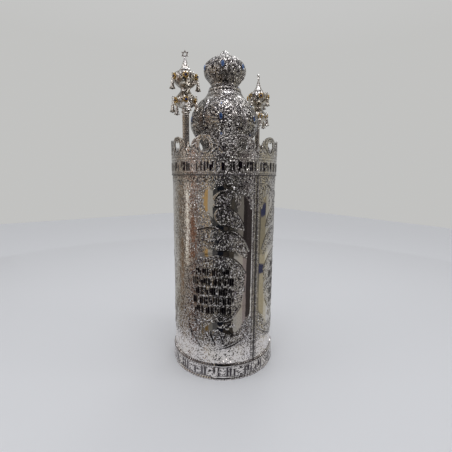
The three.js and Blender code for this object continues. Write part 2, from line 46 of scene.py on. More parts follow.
# Sizes that the pieces share, read from the frame, in millimetres
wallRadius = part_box("floor_left")[1].y / mm
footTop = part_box("foot_band_left")[1].z / mm
crestLow, crestHigh = (corner.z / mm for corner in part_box("crest_left"))
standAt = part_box("crown")[0].z / mm
seamHalf = 0.3
halves = {"left": -1, "right": 1}


# Camera, at the height and distance that the photo was taken from

view = {
    "turn": 35,          # degrees from the seam, toward the left half
    "distance": 770,     # from the case axis
    "height": 473,
    "pitch": 9.261,
    "roll": -0.495,
    "yaw": 0.440,
    "focal": 300,        # pixels
    "frameSide": 452,    # pixels
}


def makeCamera():
    turn, pitch, roll, yaw = (math.radians(view[key]) for key in ("turn", "pitch", "roll", "yaw"))
    right = Vector((math.cos(turn), -math.sin(turn), 0))
    away = Vector((math.sin(turn), math.cos(turn), 0))
    forward = right * math.sin(yaw) * math.cos(pitch) + away * math.cos(yaw) * math.cos(pitch)
    forward.z = -math.sin(pitch)
    level = right * math.cos(yaw) - away * math.sin(yaw)
    down = forward.cross(level)
    imageRight = level * math.cos(roll) + down * math.sin(roll)
    imageDown = down * math.cos(roll) - level * math.sin(roll)
    turned = Matrix((imageRight, -imageDown, -forward)).transposed().to_4x4()
    place = away * -view["distance"]
    place.z = view["height"]
    data = bpy.data.cameras.new("camera")
    data.sensor_width = 36
    data.lens = view["focal"] / view["frameSide"] * data.sensor_width
    data.clip_start = 0.01
    camera = bpy.data.objects.new("camera", data)
    camera.matrix_world = Matrix.Translation(place * mm) @ turned
    bpy.context.scene.collection.objects.link(camera)
    bpy.context.scene.camera = camera


makeCamera()
print("camera placed")


# Materials

def feed(tree, socket, value):
    # an output of another node is linked, anything else is set
    if isinstance(value, bpy.types.NodeSocket):
        tree.links.new(value, socket)
    elif value is not None:
        socket.default_value = value


def addNode(tree, kind, inputs=None, **settings):
    node = tree.nodes.new(kind)
    for key, value in settings.items():
        setattr(node, key, value)
    for key, value in (inputs or {}).items():
        feed(tree, node.inputs[key], value)
    return node


def newMaterial(name):
    material = bpy.data.materials.new(name)
    material.use_nodes = True
    return material, material.node_tree


def setSurface(tree, inputs):
    for key, value in inputs.items():
        feed(tree, tree.nodes["Principled BSDF"].inputs[key], value)


def objectCoords(tree):
    return addNode(tree, "ShaderNodeTexCoord").outputs["Object"]


def noise(tree, coords, pitch, detail):
    inputs = {"Vector": coords, "Scale": 1 / (pitch * mm), "Detail": detail}
    return addNode(tree, "ShaderNodeTexNoise", inputs).outputs[0]


def bump(tree, height, depth, normal=None):
    inputs = {"Height": height, "Distance": depth * mm, "Normal": normal}
    return addNode(tree, "ShaderNodeBump", inputs).outputs[0]


def blend(tree, low, high, share):
    return addNode(tree, "ShaderNodeMix", {0: share, 6: low, 7: high}, data_type="RGBA").outputs[2]


def remap(tree, value, low, high, toLow, toHigh):
    inputs = {0: value, 1: low, 2: high, 3: toLow, 4: toHigh}
    return addNode(tree, "ShaderNodeMapRange", inputs).outputs[0]


def math2(tree, operation, first, second):
    return addNode(tree, "ShaderNodeMath", {0: first, 1: second}, operation=operation).outputs[0]


def vector2(tree, operation, first, second=None):
    return addNode(tree, "ShaderNodeVectorMath", {0: first, 1: second}, operation=operation).outputs[0]


chased = {
    "silver": (0.90, 0.875, 0.88, 1),
    "warm": (0.86, 0.80, 0.70, 1),
    # black of the oxide, and of the painted shade wherever the attribute dark is set
    "blackening": (0.018, 0.013, 0.023, 1),
    "punchPitch": 2.2,     # between the punched facets of the matted ground
    "tilt": (1.1, 1.1, 10),  # how far the facets lean; most of them lean little
    "punchDepth": 0.24,
    "grainPitch": 0.9,
    "grainDepth": 0.05,
    "dentPitch": 34,       # slow unevenness of the polished sheet
    "dentDepth": 0.32,
    "cloudPitch": 45,      # of the warmer and the blacker places
    "polishedRough": 0.05,
    "mattedRough": 0.13,
    "darkRough": 0.25,
}


def chasedSilver(name, warmth=0.0, punch=1.0, blackening=1.0, sparkle=1.0):
    # matted where the attribute matte is 1, polished where it is 0, black where dark is 1; dark holds oxide
    # and painted shade
    c = chased
    material, tree = newMaterial(name)
    coords = objectCoords(tree)
    attributes = [addNode(tree, "ShaderNodeAttribute", attribute_name=key) for key in ("matte", "dark")]
    matte, dark = (node.outputs["Fac"] for node in attributes)

    # every punch leaves a small facet that leans its own way
    scale = 1 / (c["punchPitch"] * punch * mm)
    punches = addNode(tree, "ShaderNodeTexVoronoi", {"Vector": coords, "Scale": scale}).outputs
    lean = vector2(tree, "SUBTRACT", punches["Color"], (0.5, 0.5, 0.5))
    cube = vector2(tree, "MULTIPLY", vector2(tree, "MULTIPLY", lean, lean), lean)
    spread = vector2(tree, "MULTIPLY", cube, [sparkle * part for part in c["tilt"]])
    tilt = addNode(tree, "ShaderNodeVectorMath", {0: spread, "Scale": matte}, operation="SCALE").outputs[0]
    normal = addNode(tree, "ShaderNodeNewGeometry").outputs["Normal"]
    facet = vector2(tree, "NORMALIZE", vector2(tree, "ADD", normal, tilt))

    hollows = math2(tree, "MULTIPLY", math2(tree, "MULTIPLY", punches["Distance"], matte), -1)
    grains = math2(tree, "MULTIPLY", noise(tree, coords, c["grainPitch"], 2), math2(tree, "ADD", matte, 0.1))
    slow = bump(tree, noise(tree, coords, c["dentPitch"], 1), c["dentDepth"], facet)
    fine = bump(tree, grains, c["grainDepth"], bump(tree, hollows, c["punchDepth"], slow))

    # oxide stays in some of the punches, more in one place than in another
    clouds = noise(tree, coords, c["cloudPitch"], 3)
    chance = addNode(tree, "ShaderNodeSeparateColor", {0: punches["Color"]}).outputs[2]
    patchy = remap(tree, clouds, 0.35, 0.65, 0.96 - 0.2 * blackening, 1.08 - 0.2 * blackening)
    kept = math2(tree, "GREATER_THAN", chance, patchy)
    deep = remap(tree, matte, 0.45, 0.95, 0.1, 0.95)
    # oxide in the punches, and the attribute dark with its oxide and painted shade
    tarnishAndShade = math2(tree, "MAXIMUM", dark, math2(tree, "MULTIPLY", kept, deep))
    silver = blend(tree, c["silver"], c["warm"], remap(tree, clouds, 0.35, 0.7, 0, 0.5 + warmth))
    rough = remap(tree, matte, 0, 1, c["polishedRough"], c["mattedRough"])
    setSurface(tree, {
        "Base Color": blend(tree, silver, c["blackening"], tarnishAndShade),
        "Metallic": 1,
        "Roughness": math2(tree, "ADD", rough, math2(tree, "MULTIPLY", dark, c["darkRough"])),
        "Normal": fine,
    })
    return material


def plainSilver(name, rough, tint):
    # brushed sheet of the floor, the roof and the hinge
    material, tree = newMaterial(name)
    coords = objectCoords(tree)
    stretch = addNode(tree, "ShaderNodeMapping", {"Vector": coords, "Scale": (1, 1, 0.08)}).outputs[0]
    brush = noise(tree, stretch, 1.6, 3)
    worn = (*(0.62 * part for part in tint[:3]), 1)
    setSurface(tree, {
        "Base Color": blend(tree, tint, worn, remap(tree, noise(tree, coords, 60, 3), 0.4, 0.75, 0, 1)),
        "Metallic": 1,
        "Roughness": remap(tree, brush, 0.3, 0.7, rough * 0.8, rough * 1.25),
        "Normal": bump(tree, brush, 0.08),
    })
    return material


def gildedMetal(name, bright, worn):
    material, tree = newMaterial(name)
    wear = noise(tree, objectCoords(tree), 3, 2)
    setSurface(tree, {
        "Base Color": blend(tree, bright, worn, remap(tree, wear, 0.4, 0.7, 0, 1)),
        "Metallic": 1,
        "Roughness": 0.18,
        "Normal": bump(tree, wear, 0.2),
    })
    return material


def cutStone(name, deep, bright):
    # cut glass: darker in the depths, with painted glints in its colour, brighter patches where facets would
    # throw light back
    material, tree = newMaterial(name)
    inputs = {"Vector": objectCoords(tree), "Scale": 1 / (2.6 * mm)}
    sparks = addNode(tree, "ShaderNodeTexVoronoi", inputs).outputs["Distance"]
    setSurface(tree, {
        "Base Color": blend(tree, deep, bright, remap(tree, sparks, 0.1, 0.55, 1, 0)),
        "Metallic": 0.35,
        "Roughness": 0.05,
        "IOR": 1.75,
        "Coat Weight": 1,
        "Coat Roughness": 0.02,
    })
    return material


silverBarrel = chasedSilver("silver_chased", blackening=1.25)
silverCrest = chasedSilver("silver_crest", punch=0.8, sparkle=1.5)
silverCrown = chasedSilver("silver_crown", punch=0.8, blackening=1.9, sparkle=2.4)
silverWarm = chasedSilver("silver_finial", warmth=0.8, punch=0.8, blackening=1.3, sparkle=1.3)
brushed = plainSilver("silver_brushed", 0.28, (0.74, 0.73, 0.70, 1))
gilt = gildedMetal("gilt", (0.92, 0.68, 0.28, 1), (0.5, 0.31, 0.1, 1))
paleBlue = cutStone("stone_light", (0.05, 0.12, 0.32, 1), (0.36, 0.58, 0.95, 1))
nightBlue = cutStone("stone_night", (0.004, 0.006, 0.05, 1), (0.05, 0.09, 0.4, 1))
deepBlue = cutStone("stone_deep", (0.01, 0.03, 0.12, 1), (0.12, 0.3, 0.7, 1))
print("materials made")


# Chasing: a field of heights over a sheet, in millimetres, with how matted and how dark each place is

layers = ("lift", "matte", "dark")


def newField(xs, ys, rowScale=None):
    field = {key: np.zeros((len(ys), len(xs))) for key in layers}
    field.update(xs=xs, ys=ys, scale=np.ones(len(ys)) if rowScale is None else rowScale)
    return field  # scale is millimetres to one step of x, by row


def around(field, x, y, reach):
    # the rows and columns within reach of x, y, and how far each place is from there in millimetres
    rows = slice(*np.searchsorted(field["ys"], (y - reach, y + reach)))
    scale = field["scale"][rows][:, None]
    wide = reach / max(scale.min(initial=np.inf), 1e-6)
    cols = slice(*np.searchsorted(field["xs"], (x - wide, x + wide)))
    dx = (field["xs"][None, cols] - x) * scale
    dy = np.repeat((field["ys"][rows] - y)[:, None], dx.shape[1], axis=1)
    return (rows, cols), dx, dy


def press(field, zone, shape, covered, matte, dark):
    # raises the sheet to a shape, and gives what it covers its finish
    lift = field["lift"][zone]
    np.maximum(lift, shape, out=lift)
    field["matte"][zone][covered] = matte
    field["dark"][zone][covered] = dark


def chaseLeaf(field, x, y, angle, length, width, height, vein=0.55, matte=0.5):
    # domed leaf with a sunk vein and a shaded edge, its root at x, y
    zone, dx, dy = around(field, x, y, length + width)
    a = math.radians(angle)
    along = (dx * math.cos(a) + dy * math.sin(a)) / length
    side = (dy * math.cos(a) - dx * math.sin(a)) / (width / 2)
    belly = np.sin(np.pi * np.clip(along, 0, 1) ** 0.8) ** 0.7 + 1e-3
    inside = np.clip(1 - (side / belly) ** 2, 0, 1) * ((along > 0) & (along < 1))
    dome = height * np.sqrt(inside) * (1 - vein * np.exp(-(side / 0.2) ** 2))
    press(field, zone, dome, inside > 0.02, matte, 0)
    field["dark"][zone][(inside > 0) & (inside < 0.28)] = 0.5


def chaseStroke(field, points, width, height, matte=0.3, dark=0.0, flat=False):
    # raised line through points, round or flat on top
    for (x0, y0), (x1, y1) in zip(points, points[1:]):
        reach = math.dist((x0, y0), (x1, y1)) / 2 + width
        zone, dx, dy = around(field, (x0 + x1) / 2, (y0 + y1) / 2, reach)
        ex, ey = (x1 - x0) * field["scale"][zone[0]][:, None] / 2, (y1 - y0) / 2
        t = np.clip((dx * ex + dy * ey) / (ex * ex + ey * ey + 1e-9), -1, 1)
        gap = np.hypot(dx - t * ex, dy - t * ey) / (width / 2)
        inside = np.clip(1 - gap ** 2, 0, 1)
        shape = np.clip(inside * 4, 0, 1) if flat else np.sqrt(inside)
        press(field, zone, height * shape, inside > 0.05, matte, dark)


def chaseBead(field, x, y, size, height, dark=0.0):
    zone, dx, dy = around(field, x, y, size)
    inside = np.clip(1 - (dx ** 2 + dy ** 2) / (size / 2) ** 2, 0, 1)
    press(field, zone, height * np.sqrt(inside), inside > 0.05, 0, dark)


def arcPoints(halfW, halfH, start, end, steps=14):
    angles = np.radians(np.linspace(start, end, steps))
    return [(halfW * math.cos(a), halfH * math.sin(a)) for a in angles]


def spiralPoints(outer, inner, start, end, steps=18):
    turns = np.radians(np.linspace(start, end, steps))
    return [(s * math.cos(a), s * math.sin(a)) for a, s in zip(turns, np.linspace(outer, inner, steps))]


def scaleAt(field, y):
    return float(np.interp(y, field["ys"], field["scale"]))


def placed(field, x, y, points):
    # points in millimetres round x, y
    return [(x + dx / scaleAt(field, y + dy), y + dy) for dx, dy in points]


def chaseBranch(field, points, leafFrom, leafTo, height, stem):
    # a stem on matted ground with leaves on its two sides, which grow from one size to the other along it
    width = max(leafFrom, leafTo) * 1.1
    for x, y in points:
        zone, dx, dy = around(field, x, y, width)
        field["matte"][zone][dx ** 2 + dy ** 2 < (width / 2) ** 2] = 1
    for i, ((x0, y0), (x1, y1)) in enumerate(zip(points, points[1:])):
        size = leafFrom + (leafTo - leafFrom) * i / max(len(points) - 2, 1)
        heading = math.degrees(math.atan2(y1 - y0, (x1 - x0) * scaleAt(field, y0)))
        chaseLeaf(field, x0, y0, heading + 55, size, size * 0.5, height)
        chaseLeaf(field, x0, y0, heading - 55, size * 0.75, size * 0.5, height)
    chaseStroke(field, points, stem, height * 1.25, matte=0.7)
    chaseBead(field, *points[-1], leafTo * 0.55, height * 1.4)


def soften(values, times):
    for _ in range(times):
        wide = np.pad(values, 1, mode="edge")
        beside = wide[:-2, 1:-1] + wide[2:, 1:-1] + wide[1:-1, :-2] + wide[1:-1, 2:]
        values = (beside + 2 * values) / 6
    return values


def finishField(field, blackening=1.0):
    # oxide gathers where the sheet is lower than what stands round it
    lower = soften(field["lift"], 5) - field["lift"]
    gathered = np.clip(lower * 2.6 - 0.12, 0, 1) * blackening
    field["dark"] = np.clip(np.maximum(field["dark"], gathered), 0, 1)
    field["lift"] = soften(field["lift"], 1)
    field["matte"] = soften(field["matte"], 1)
    return field


def clearField(field, zone, matte=None):
    # takes the relief and the oxide away again
    field["lift"][zone] = 0
    field["dark"][zone] = 0
    if matte is not None:
        field["matte"][zone] = matte


def joinFields(fields):
    # side by side; the shared edge columns are kept once
    return {key: np.concatenate([fields[0][key]] + [part[key][:, 1:] for part in fields[1:]], axis=1)
            for key in layers}


# Sheets: a grid shaped by code, then closed behind in edit mode

def deselectAll():
    if bpy.context.object and bpy.context.object.mode == "EDIT":
        bpy.ops.object.mode_set(mode="OBJECT")
    bpy.ops.object.select_all(action="DESELECT")


def selectOnly(*pieces):
    deselectAll()
    for piece in pieces:
        piece.select_set(True)
    bpy.context.view_layer.objects.active = pieces[0]


def pickVerts(piece, chosen):
    selectOnly(piece)
    bpy.ops.object.mode_set(mode="EDIT")
    bpy.ops.mesh.select_mode(type="VERT")
    bpy.ops.mesh.select_all(action="DESELECT")
    bpy.ops.object.mode_set(mode="OBJECT")
    piece.data.vertices.foreach_set("select", chosen.astype(bool))
    bpy.ops.object.mode_set(mode="EDIT")


def readVerts(piece):
    co = np.empty(len(piece.data.vertices) * 3)
    piece.data.vertices.foreach_get("co", co)
    return co.reshape(-1, 3)


def readPicked(piece):
    chosen = np.zeros(len(piece.data.vertices), bool)
    piece.data.vertices.foreach_get("select", chosen)
    return chosen


def writeVerts(piece, co):
    piece.data.vertices.foreach_set("co", co.astype(np.float32).ravel())
    piece.data.update()


def readValues(piece, name):
    values = np.zeros(len(piece.data.vertices), np.float32)
    piece.data.attributes[name].data.foreach_get("value", values)
    return values


def writeValues(piece, name, values):
    layer = piece.data.attributes.get(name) or piece.data.attributes.new(name, "FLOAT", "POINT")
    layer.data.foreach_set("value", np.asarray(values, np.float32).ravel())


def nameIt(piece, name):
    piece.name = name
    piece.data.name = name
    return piece


def gridPiece(name, across, up, place, field=None):
    # across and up are the values at the grid lines; place gives x, y, z in millimetres for the whole grid
    deselectAll()
    bpy.ops.mesh.primitive_grid_add(x_subdivisions=len(across) - 1, y_subdivisions=len(up) - 1, size=1)
    piece = nameIt(bpy.context.object, name)
    flat = readVerts(piece)
    col = np.rint((flat[:, 0] + 0.5) * (len(across) - 1)).astype(int)
    row = np.rint((flat[:, 1] + 0.5) * (len(up) - 1)).astype(int)
    parts = place(np.asarray(across)[None, :], np.asarray(up)[:, None])
    spots = [np.broadcast_to(part, (len(up), len(across)))[row, col] for part in parts]
    writeVerts(piece, np.stack(spots, axis=1) * mm)
    if field is not None:
        for key in ("matte", "dark"):
            writeValues(piece, key, field[key][row, col])
    return piece, row, col


def turnOutward():
    # ends an edit of the mesh with its normals outward
    bpy.ops.mesh.select_all(action="SELECT")
    bpy.ops.mesh.normals_make_consistent(inside=False)
    bpy.ops.object.mode_set(mode="OBJECT")


def fillOpen():
    bpy.ops.mesh.select_all(action="DESELECT")
    bpy.ops.mesh.select_non_manifold()
    bpy.ops.mesh.fill_holes(sides=0)
    turnOutward()


def closeBehind(piece, row, innerRadius):
    # folds the top and bottom edges in to the inner radius, bridges them and fills the two ends; plain inside
    rims = []
    for edge in (0, row.max()):
        chosen = np.zeros(len(piece.data.vertices), bool)
        chosen[:len(row)] = row == edge
        pickVerts(piece, chosen)
        bpy.ops.mesh.extrude_edges_move()
        bpy.ops.object.mode_set(mode="OBJECT")
        moved = readPicked(piece)
        co = readVerts(piece)
        co[moved, :2] *= innerRadius * mm / np.hypot(co[moved, 0], co[moved, 1])[:, None]
        writeVerts(piece, co)
        for key, plain in (("matte", 0.3), ("dark", 0.2)):
            values = readValues(piece, key)
            values[moved] = plain
            writeValues(piece, key, values)
        rims.append(moved)
    both = rims[1]
    both[:len(rims[0])] |= rims[0]
    pickVerts(piece, both)
    bpy.ops.mesh.bridge_edge_loops()
    fillOpen()


def finishPiece(piece, body, material, replaces=(), angle=40):
    selectOnly(piece)
    bpy.ops.object.shade_smooth_by_angle(angle=math.radians(angle))
    piece.data.materials.clear()
    piece.data.materials.append(material)
    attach(piece, body)
    if replaces:
        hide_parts(*replaces)


def onCase(azimuth, radius):
    return radius * np.sin(azimuth), -radius * np.cos(azimuth)


def wrapHalves(name, node, azimuths, ys, field, radius, up, innerRadius):
    # one sheet for the left half and the same, mirrored, for the right one
    for word, side in halves.items():
        def place(azimuth, _):
            x, y = onCase(azimuth, radius)
            return side * x, y, up
        piece, row, _ = gridPiece(f"{name}_{word}", azimuths, ys, place, field)
        closeBehind(piece, row, innerRadius)
        finishPiece(piece, word + "_half", silverBarrel, [f"{node}_{word}"])
        print(piece.name, len(piece.data.polygons), "faces")


def bandAzimuths(count, radius):
    # from the front seam to the back one
    start = seamHalf / radius
    return np.linspace(start, math.pi - start, count + 1)


def ease(values, low, high):
    share = np.clip((values - low) / (high - low), 0, 1)
    return share * share * (3 - 2 * share)


# Strokes in place of the writing

def chaseMarks(field, marks, left, right, foot, seed):
    # upright strokes that stand or hang, broken ones and dots, all apart from each other: no letters
    kinds = ((0, 1), (0.4, 1), (0, 1), (0, 0.4, 0.6, 1), (0, 0.65),
             (0, 1), (), (0.3, 1), (0, 0.35, 0.7, 1), (0, 0.8))
    gaps = (0.6, 1.0, 0.8, 1.4)
    width, height, lift = marks["width"], marks["height"], marks["lift"]
    x = left + width / 2
    i = seed
    while x < right - width / 2:
        ends = kinds[(i * 3 + seed) % len(kinds)]
        for low, high in zip(ends[::2], ends[1::2]):
            line = [(x, foot + height * low), (x, foot + height * high)]
            chaseStroke(field, line, width, lift, matte=0, dark=1, flat=True)
        if not ends:
            chaseBead(field, x, foot + height * 0.5, width * 1.2, lift, dark=1)
        x += width * (1 + marks["apart"] * gaps[i % len(gaps)])
        i += 1


def chaseRow(field, marks, end):
    # one row round a band, in groups
    x = marks["from"]
    group = 0
    while x < end - marks["least"]:
        wide = marks["groups"][group % len(marks["groups"])]
        seed = group * marks["seeds"][0] + marks["seeds"][1]
        chaseMarks(field, marks, x, min(x + wide, end - marks["margin"]), marks["foot"], seed)
        x += wide + marks["space"]
        group += 1


# Barrel: each half has a front and a back panel, mirrored about its middle

barrel = {
    "wall": 3,
    "columns": 140,          # across one panel
    "pitchUp": 1.5,
    "low": 4.3,
    "high": 511,
    "plainEdge": 0.5,        # what stays free of chasing beside the bands
    "ropeInset": 4.8,        # middle of the rope, from the seam
    "ropeWidth": 3.8,
    "ropePitch": 5,
    "markRows": 5,
    "markLow": 165,
    "markRowPitch": 22.4,
    "markLeft": -52,
    "markRight": 48,
    "marks": {"width": 3.6, "height": 15, "lift": 0.6, "apart": 0.55},
    "lowZone": 82,           # below this the ground is only finely matted
    "hingeStrip": 22,        # kept flat beside the back seam
    # outlines of the polished ground, then of the matted shapes that stand on it: across and up
    "polished": [
        [(-24, 446), (2, 446), (30, 462), (48, 440), (70, 430), (94, 436), (94, 150), (80, 154),
         (66, 137), (55, 118), (46, 115), (28, 113), (14, 124), (2, 128), (-6, 115), (-13, 111),
         (-21, 122), (-21, 134), (-2, 144), (0, 290), (-3, 392), (-22, 400)],
        [(-46, 294), (-44, 328), (-31, 314), (-22, 324), (-12, 312), (2, 322), (8, 300), (-10, 297)],
        [(-73, 270), (-75, 318), (-70, 350), (-72, 446), (-61, 446), (-62, 350), (-57, 312), (-62, 274)],
        [(-57, 288), (-58, 308), (-45, 308), (-46, 292)],
        [(-57, 322), (-56, 392), (-44, 386), (-42, 330)],
        [(-97, 190), (-98, 332), (-80, 336), (-81, 250), (-85, 190)],
    ],
    "shapes": [
        [(1, 414), (2, 428), (9, 437), (20, 444), (31, 446), (43, 442), (44, 427), (36, 414)],
        [(47, 447), (54, 454), (62, 458), (76, 461), (96, 461), (96, 434), (89, 432), (88, 404),
         (83, 404), (79, 424), (70, 433), (61, 434), (54, 440)],
        [(46, 443), (52, 447), (60, 436), (60, 416), (55, 402), (49, 412)],
        [(22, 411), (12, 405), (4, 394), (7, 380), (17, 370), (30, 372), (42, 367), (66, 358),
         (61, 379), (52, 393), (41, 402), (30, 408)],
        [(-34, 360), (-20, 366), (-3, 367), (11, 362), (20, 352), (15, 342), (6, 334), (2, 318),
         (-10, 318), (-14, 330), (-22, 308), (-34, 304), (-40, 330)],
        [(18, 346), (24, 353), (36, 357), (50, 352), (61, 342), (71, 329), (78, 312), (79, 292),
         (64, 298), (56, 307), (46, 313), (6, 313), (5, 324), (14, 332)],
        [(-76, 200), (-75, 250), (-68, 268), (-54, 281), (-37, 291), (-10, 299), (10, 302), (31, 298),
         (48, 291), (62, 278), (70, 262), (72, 236), (69, 200), (60, 181), (50, 165), (37, 151),
         (24, 147), (12, 148), (-2, 141), (-20, 132), (-30, 116), (-60, 150)],
        [(14, 129), (16, 138), (28, 141), (50, 144), (48, 130), (32, 134)],
    ],
    # raised bright lines, each with a painted shadow on its lower side if asked: groove is how far below the
    # line its dark stroke runs
    "lines": [
        {"wide": 2.8, "groove": 3.6, "points": [(2, 427), (9, 437), (20, 444), (31, 446), (44, 442)]},
        {"wide": 3.8, "groove": 4.6, "points": [(2, 413), (18, 413), (36, 413)]},
        {"wide": 2.8, "groove": 3.8, "points": [(47, 446), (54, 454), (62, 458), (76, 461), (94, 461)]},
        {"wide": 2.4, "groove": 0, "points": [(24, 411), (12, 405), (4, 394), (7, 380), (18, 370)]},
        {"wide": 2.2, "groove": 0, "points": [(30, 408), (41, 402), (52, 393), (61, 379), (67, 359)]},
        {"wide": 2.4, "groove": 0, "points": [(26, 371), (42, 366), (66, 359)]},
        {"wide": 2.4, "groove": 3.4, "points": [(-36, 360), (-20, 366), (-3, 367), (11, 362), (20, 352)]},
        {"wide": 2.6, "groove": 3.4, "points": [(18, 349), (26, 355), (38, 357), (50, 353), (61, 342),
                                                (71, 329), (79, 310)]},
        {"wide": 3.2, "groove": 4.2, "points": [(7, 316), (26, 316), (47, 316)]},
        {"wide": 2.0, "groove": 0, "points": [(-66, 268), (-37, 290), (-10, 298), (10, 301), (31, 297),
                                              (48, 290), (62, 277), (71, 260)]},
        {"wide": 3.0, "groove": 0, "points": [(10, 149), (24, 147), (37, 151), (50, 164), (61, 182)]},
        {"wide": 2.2, "groove": 3.2, "points": [(24, 83), (46, 91), (66, 101), (80, 114), (90, 128)]},
        {"wide": 2.2, "groove": 0, "points": [(28, 78), (50, 86), (72, 97), (88, 112)]},
    ],
    "cuts": [                # dark chased lines
        [(-56, 110), (-46, 97), (-34, 80)], [(-8, 114), (0, 100), (4, 86)], [(14, 116), (20, 102), (24, 90)],
        [(-64, 128), (-58, 112), (-56, 96)], [(20, 398), (15, 391), (17, 383)],
        [(26, 456), (31, 452), (36, 455)],
        [(36, 122), (48, 108), (60, 112)],
    ],
    # leaves fanned inside the shapes: x, y, from and to in degrees, step, length
    "fans": [
        (18, 419, 20, 160, 20, 21), (74, 436, 30, 150, 24, 20), (34, 386, 0, 359, 40, 17),
        (-8, 344, 10, 350, 34, 17), (40, 332, -20, 200, 24, 19), (-30, 344, 60, 300, 40, 14),
    ],
    # below the marks: x, y, angle, length
    "longLeaves": [
        (-42, 92, 118, 26), (-20, 88, 80, 34), (-6, 88, 96, 34), (8, 84, 80, 40), (22, 84, 84, 34),
        (-60, 100, 104, 30), (-70, 128, 84, 24), (66, 118, 62, 26), (-80, 150, 95, 26),
        (80, 128, 80, 28), (38, 98, 60, 24), (52, 104, 50, 22), (-46, 128, 100, 26),
    ],
    "buds": [(18, 133, 160), (24, 134, 60), (30, 136, 140), (36, 134, 30), (42, 137, 100), (27, 131, -20)],
}


def rounded(points, closed=True):
    # a line with its corners cut off twice
    line = np.array(points, float)
    for _ in range(2):
        ahead = np.roll(line, -1, axis=0)
        cutOff = np.stack([0.75 * line + 0.25 * ahead, 0.25 * line + 0.75 * ahead], axis=1).reshape(-1, 2)
        line = cutOff if closed else np.concatenate([line[:1], cutOff[1:-3], line[-1:]])
    return [tuple(point) for point in line]


def insideShape(xs, ys, points):
    inside = np.zeros(xs.shape, bool)
    for (x0, y0), (x1, y1) in zip(points, points[1:] + points[:1]):
        if y0 != y1:
            inside ^= ((y0 > ys) != (y1 > ys)) & (xs < x0 + (x1 - x0) * (ys - y0) / (y1 - y0))
    return inside


def chaseFiller(field):
    # small scrolls and leaves all over the ground
    step = 20
    for i, y in enumerate(np.arange(96, 470, step)):
        for j, x in enumerate(np.arange(-96, 97, step)):
            turn = (i * 73 + j * 131) % 360
            hand = 1 if (i + j) % 2 else -1
            px, py = x + 4 * math.sin(i * 2.1 + j), y + 4 * math.cos(i + j * 1.7)
            curl = [(px + hand * dx, py + dy) for dx, dy in spiralPoints(8.5, 2.5, turn, turn + 250, 12)]
            for k, (lx, ly) in enumerate(curl[:-3:2]):
                chaseLeaf(field, lx, ly, turn + hand * (40 + 60 * k), 9, 5, 0.45, matte=0.8)
            chaseStroke(field, curl, 2.0, 0.55, matte=0.5)
            chaseBead(field, px, py, 3.6, 0.6)


def chasePanel(field, marked):
    b = barrel
    xs, ys = np.meshgrid(field["xs"], field["ys"])
    field["matte"][:] = 0.8
    chaseFiller(field)
    ground = np.zeros(xs.shape, bool)
    for outline in b["polished"]:
        ground |= insideShape(xs, ys, rounded(outline))
    for outline in b["shapes"]:
        shape = insideShape(xs, ys, rounded(outline))
        ground &= ~shape
        field["matte"][shape] = 1
    clearField(field, ground, 0)
    field["matte"][ground & (xs < -26)] = 0.38
    for x, y, start, end, step, long in b["fans"]:
        for turn in range(start, end, step):
            chaseLeaf(field, x, y, turn, long, long * 0.36, 1.2, matte=0.9)
        chaseBead(field, x, y, 5, 1.4)
    # the rows of strokes, the first and the last of them shorter
    clear = (xs > b["markLeft"] - 3) & (xs < b["markRight"] + 2) & (ys > b["markLow"] - 3)
    clearField(field, clear & (ys < b["markLow"] + b["markRowPitch"] * b["markRows"]))
    for row in range(b["markRows"] if marked else 0):
        inset = 6 if row in (0, b["markRows"] - 1) else 0
        left = b["markLeft"] + inset + row * 1.7 % 4
        foot = b["markLow"] + b["markRowPitch"] * row
        chaseMarks(field, b["marks"], left, b["markRight"] - inset, foot, row * 4 + 1)
    # below: long leaves, and a polished strip between them
    chaseStroke(field, [(-29, 138), (-28, 92)], 4.4, 0.1, matte=0, flat=True)
    for x, y, angle, size in b["longLeaves"]:
        chaseLeaf(field, x, y, angle, size, size * 0.3, 1.3, matte=1)
    for x, y, angle in b["buds"]:
        chaseLeaf(field, x, y, angle, 9, 4.5, 1.6, matte=0.1)
    clearField(field, (ys < b["lowZone"]) & (ys > footTop), 0.42)
    # two rows of leaves under the crest
    for x in np.arange(-98, 99, 8.2):
        chaseLeaf(field, x, 475, -90, 12, 7, 1.1, matte=1)
        chaseLeaf(field, x + 4.1, 470, -90, 10, 5, 0.8, matte=1)
    for line in b["lines"]:
        points = rounded(line["points"], closed=False)
        # painted shadow: a dark stroke, barely raised, under the lower side of the line
        if line["groove"]:
            under = [(x, y - line["groove"]) for x, y in points[:len(points) * 2 // 3]]
            chaseStroke(field, under, 2.6, 0.1, matte=0, dark=0.95)
        chaseStroke(field, points, line["wide"], 1.4, matte=0.9)
    for points in b["cuts"]:
        chaseStroke(field, rounded(points, closed=False), 2.8, 0.1, matte=0, dark=0.95)
    # rope beside the seam, with a dark line between the two
    rope = field["xs"][-1] - b["ropeInset"]
    strip = (xs > rope - b["ropeWidth"]) & (ys > footTop)
    clearField(field, strip, 0.8)
    field["dark"][strip & (xs > rope + b["ropeWidth"] / 2 + 0.8)] = 0.8
    for y in np.arange(46, 474, b["ropePitch"]):
        chaseStroke(field, [(rope - 1.4, y), (rope + 1.4, y + 3.2)], 2.8, 1.4, matte=0.5)
    return finishField(field)


